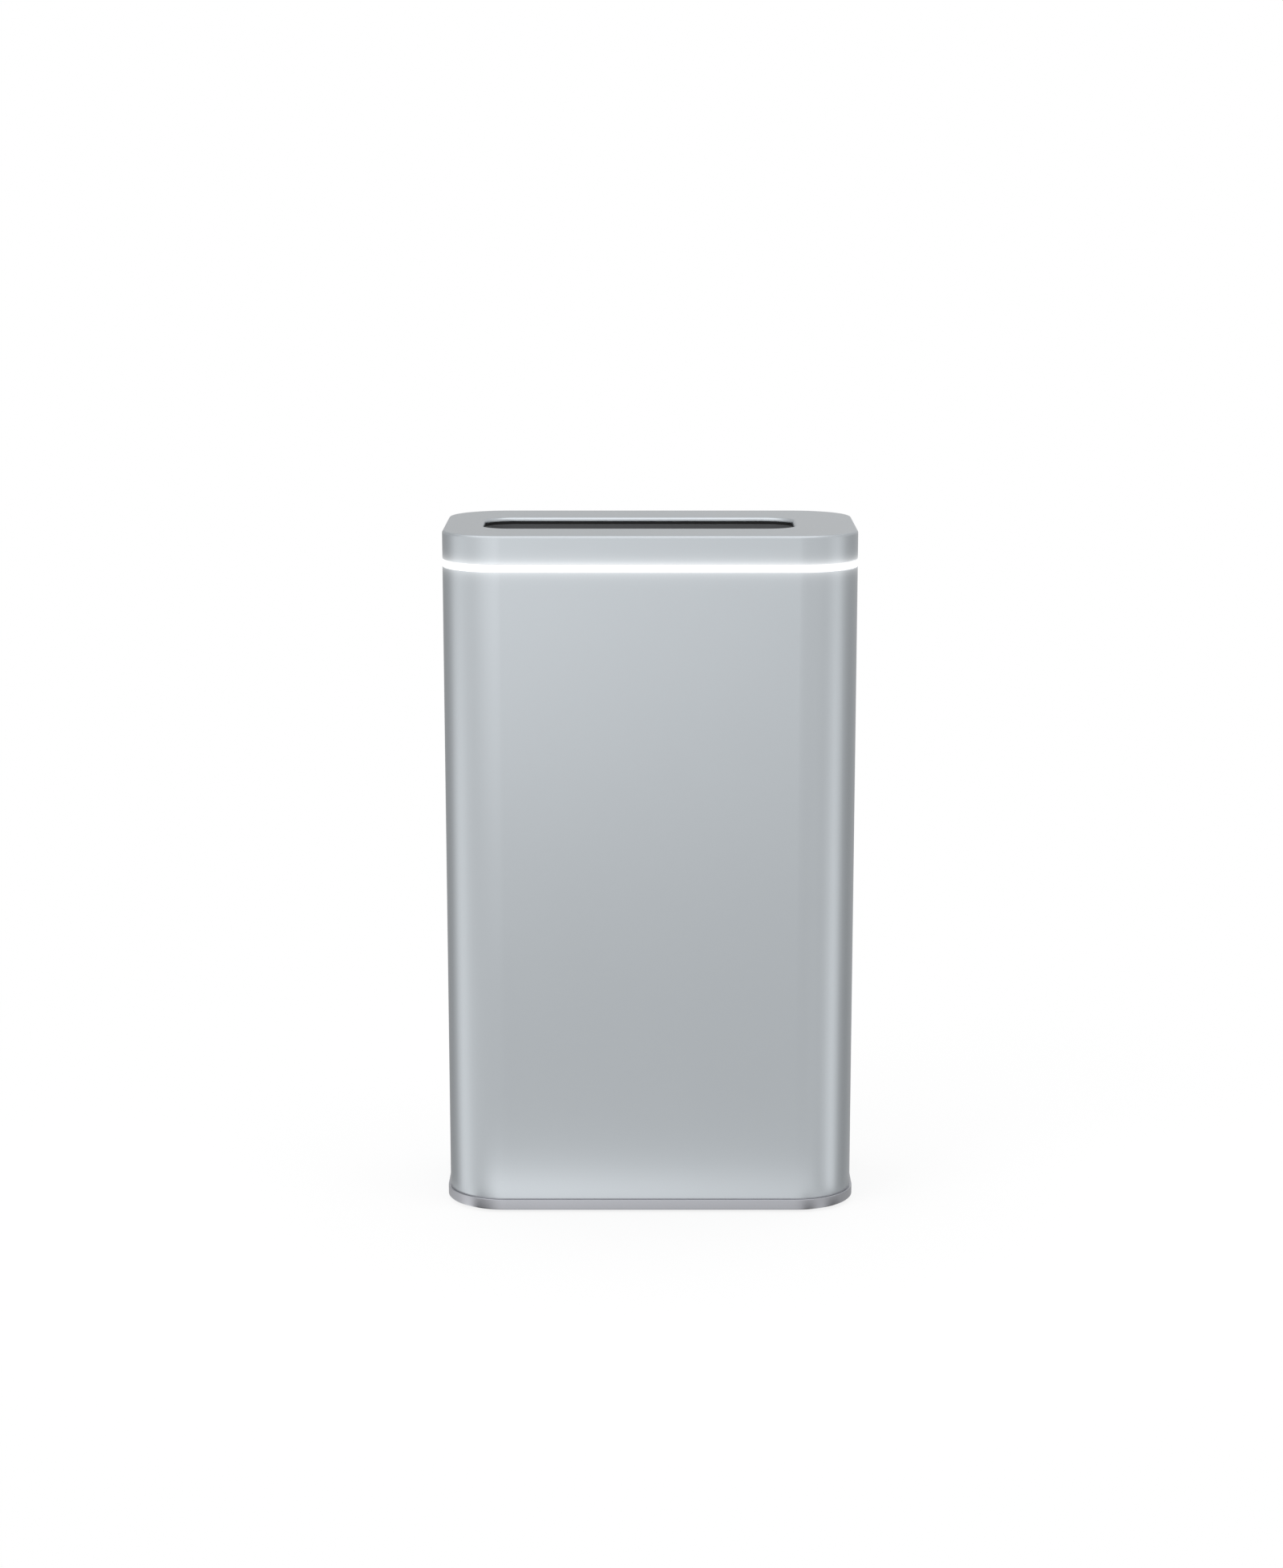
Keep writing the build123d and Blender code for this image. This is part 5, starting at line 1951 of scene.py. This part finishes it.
@dataclass
class Studio:
    """Pale floor, white surround, soft lamps, a patterned wall for reflections, and the camera."""

    pattern: LightPattern = LightPattern()
    ambient: float = 0.75
    floor_grey: float = 0.85
    floor_width: float = 24.0
    floor_drop: float = 0.00005
    floor_fade: Pair = (0.05, 0.35)  # distances between which the floor turns white
    floor_white: Pair = (0.84, 1.0)  # share of white at each of them
    wall_radius: float = 2.0
    wall_height: float = 1.6
    wall_steps: int = 96
    softbox_at: Pair = (-0.25, -0.45)
    softbox_size: Pair = (2.2, 1.3)
    softbox_strength: float = 1.8
    lamps: tuple[SoftLamp, ...] = (
        SoftLamp("key", (-0.9, -1.0, 1.1), 0.8, 7.0),
        SoftLamp("fill", (1.1, -0.8, 0.9), 0.8, 3.0),
        SoftLamp("overhead", (0.0, 0.2, 1.5), 1.2, 9.0),
    )
    lamps_aim: Triple = (0.0, 0.0, 0.1)
    camera_at: Triple = (0.0, -1.0842, 0.3207)
    camera_pitch: float = 13.834  # degrees that it looks down
    camera_clip: Pair = (0.01, 50.0)
    lens: float = 81.82  # focal length in millimetres
    sensor: float = 36.0  # longer side in millimetres
    shift: Pair = (-0.0055, 0.1462)  # in parts of the longer side

    def build(self) -> None:
        """Sets up the whole studio."""
        self.light_surround()
        self.lay_floor()
        self.stand_wall()
        self.hang_softbox()
        self.hang_lamps()
        self.place_camera()
        bpy.context.scene.view_settings.view_transform = "Standard"

    def light_surround(self) -> None:
        """Makes the white surround, which the lens, metal and glass all see."""
        world = bpy.data.worlds.new("surround")
        bpy.context.scene.world = world
        world.use_nodes = True
        wiring = Wiring(world.node_tree)
        path = wiring.node("ShaderNodeLightPath")
        seen = wiring.math("MAXIMUM", path.outputs["Is Camera Ray"], path.outputs["Is Glossy Ray"])
        seen = wiring.math("MAXIMUM", seen, path.outputs["Is Transmission Ray"])
        level = wiring.node("ShaderNodeMapRange", To_Min=self.ambient, To_Max=1.0)
        wiring.join(seen, level.inputs["Value"])
        background = world.node_tree.nodes["Background"]
        background.inputs["Color"].default_value = (1.0, 1.0, 1.0, 1.0)
        wiring.join(level.outputs[0], background.inputs["Strength"])

    def lay_floor(self) -> None:
        """Makes the pale floor: it takes the object's shadow, and turns white with distance."""
        width = (self.floor_width, self.floor_width)
        floor = self._sheet("floor", (0.0, 0.0, -self.floor_drop), width)
        wiring = self._bare_material(floor, "floor_paper")
        path = wiring.node("ShaderNodeLightPath")
        paper = wiring.node("ShaderNodeBsdfDiffuse", Color=(self.floor_grey,) * 3 + (1.0,))
        white = wiring.node("ShaderNodeEmission", Strength=1.0)
        lit = wiring.node("ShaderNodeEmission", Strength=self.pattern.strength(wiring, Surface.FLOOR))
        away = wiring.node("ShaderNodeVectorMath", operation="LENGTH")
        wiring.join(wiring.node("ShaderNodeTexCoord").outputs["Object"], away.inputs[0])
        fade = wiring.node("ShaderNodeMapRange", interpolation_type="SMOOTHSTEP")
        fade.inputs["From Min"].default_value, fade.inputs["From Max"].default_value = self.floor_fade
        fade.inputs["To Min"].default_value, fade.inputs["To Max"].default_value = self.floor_white
        wiring.join(away.outputs["Value"], fade.inputs["Value"])
        to_lens = self._mixed(wiring, fade.outputs[0], paper, white)
        seen = self._mixed(wiring, path.outputs["Is Camera Ray"], paper, to_lens)
        self._finish(wiring, self._mixed(wiring, path.outputs["Is Glossy Ray"], seen, lit))

    def stand_wall(self) -> None:
        """Stands the round wall whose changing brightness only metal and glass see."""
        shell = bmesh.new()
        angles = [2 * math.pi * step / self.wall_steps for step in range(self.wall_steps)]
        reach = self.wall_radius
        circle = [(reach * math.sin(angle), -reach * math.cos(angle)) for angle in angles]
        low, high = ([shell.verts.new((x, y, z)) for x, y in circle] for z in (0.0, self.wall_height))
        for step in range(self.wall_steps):
            on = (step + 1) % self.wall_steps
            shell.faces.new((low[on], low[step], high[step], high[on]))
        wall_ring = object_of("wall", shell)
        wiring = self._bare_material(wall_ring, "wall_cloth")
        strength = self.pattern.strength(wiring, Surface.WALL)
        self._finish(wiring, wiring.node("ShaderNodeEmission", Strength=strength))
        self._glossy_only(wall_ring)

    def hang_softbox(self) -> None:
        """Hangs the softbox that rounded edges catch."""
        box = self._sheet("softbox", (*self.softbox_at, self.wall_height), self.softbox_size)
        wiring = self._bare_material(box, "softbox_cloth")
        self._finish(wiring, wiring.node("ShaderNodeEmission", Strength=self.softbox_strength))
        self._glossy_only(box)

    def _sheet(self, name: str, centre: Triple, size: Pair) -> Object:
        """Lays a level sheet.

        Args:
            name: Name of the sheet.
            centre: Its centre.
            size: Its length and width.

        Returns:
            The sheet.
        """
        shell = bmesh.new()
        bmesh.ops.create_grid(shell, x_segments=1, y_segments=1, size=0.5)
        return object_of(name, shell, Matrix.Translation(centre) @ Matrix.Diagonal((*size, 1.0, 1.0)))

    def _bare_material(self, piece: Object, name: str) -> Wiring:
        """Gives a studio surface an empty material.

        Args:
            piece: Surface.
            name: Name of the material.

        Returns:
            The material's wiring.
        """
        material = bpy.data.materials.new(name)
        material.use_nodes = True
        material.node_tree.nodes.clear()
        piece.data.materials.append(material)
        return Wiring(material.node_tree)

    def _mixed(self, wiring: Wiring, share: Socket, first: Node, second: Node) -> Node:
        """Mixes two shaders.

        Args:
            wiring: Wiring of the material.
            share: Share of the second shader.
            first: First shader.
            second: Second shader.

        Returns:
            The mixing node.
        """
        mix = wiring.node("ShaderNodeMixShader")
        for place, source in enumerate((share, first.outputs[0], second.outputs[0])):
            wiring.join(source, mix.inputs[place])
        return mix

    def _finish(self, wiring: Wiring, shader: Node) -> None:
        """Joins a shader to the material's output."""
        wiring.join(shader.outputs[0], wiring.node("ShaderNodeOutputMaterial").inputs["Surface"])

    def _glossy_only(self, piece: Object) -> None:
        """Hides a studio surface from all but reflections."""
        piece.visible_camera = piece.visible_diffuse = piece.visible_shadow = False
        piece.visible_transmission = False

    def hang_lamps(self) -> None:
        """Hangs the soft lamps, which light what isn't metal."""
        for row in self.lamps:
            data = bpy.data.lights.new(row.name, "AREA")
            data.shape, data.size, data.energy = "SQUARE", row.size, row.power
            lamp = bpy.data.objects.new(row.name, data)
            bpy.context.scene.collection.objects.link(lamp)
            lamp.location = row.at
            towards = Vector(self.lamps_aim) - Vector(row.at)
            lamp.rotation_euler = towards.to_track_quat("-Z", "Y").to_euler()
            lamp.visible_camera = lamp.visible_glossy = False

    def place_camera(self) -> None:
        """Places the camera."""
        data = bpy.data.cameras.new("camera")
        data.lens, data.sensor_width, data.sensor_fit = self.lens, self.sensor, "AUTO"
        data.shift_x, data.shift_y = self.shift
        data.clip_start, data.clip_end = self.camera_clip
        camera = bpy.data.objects.new("camera", data)
        bpy.context.scene.collection.objects.link(camera)
        camera.location = self.camera_at
        camera.rotation_euler = (math.radians(90.0 - self.camera_pitch), 0.0, 0.0)
        bpy.context.scene.camera = camera


def main() -> None:
    """Builds the phone box and its studio."""
    logging.basicConfig(level=logging.INFO, format="%(message)s")
    palette = Palette()
    shells = (Sleeve, LightGuide, Cap, Base, Seal, Feet)
    inside = (Interior, Fasteners, RingLights, LiftScrew, Lamps, RearControls, Electronics)
    for assembly in shells + inside:
        assembly(palette).build()
    Studio().build()


if __name__ == "__main__":
    main()
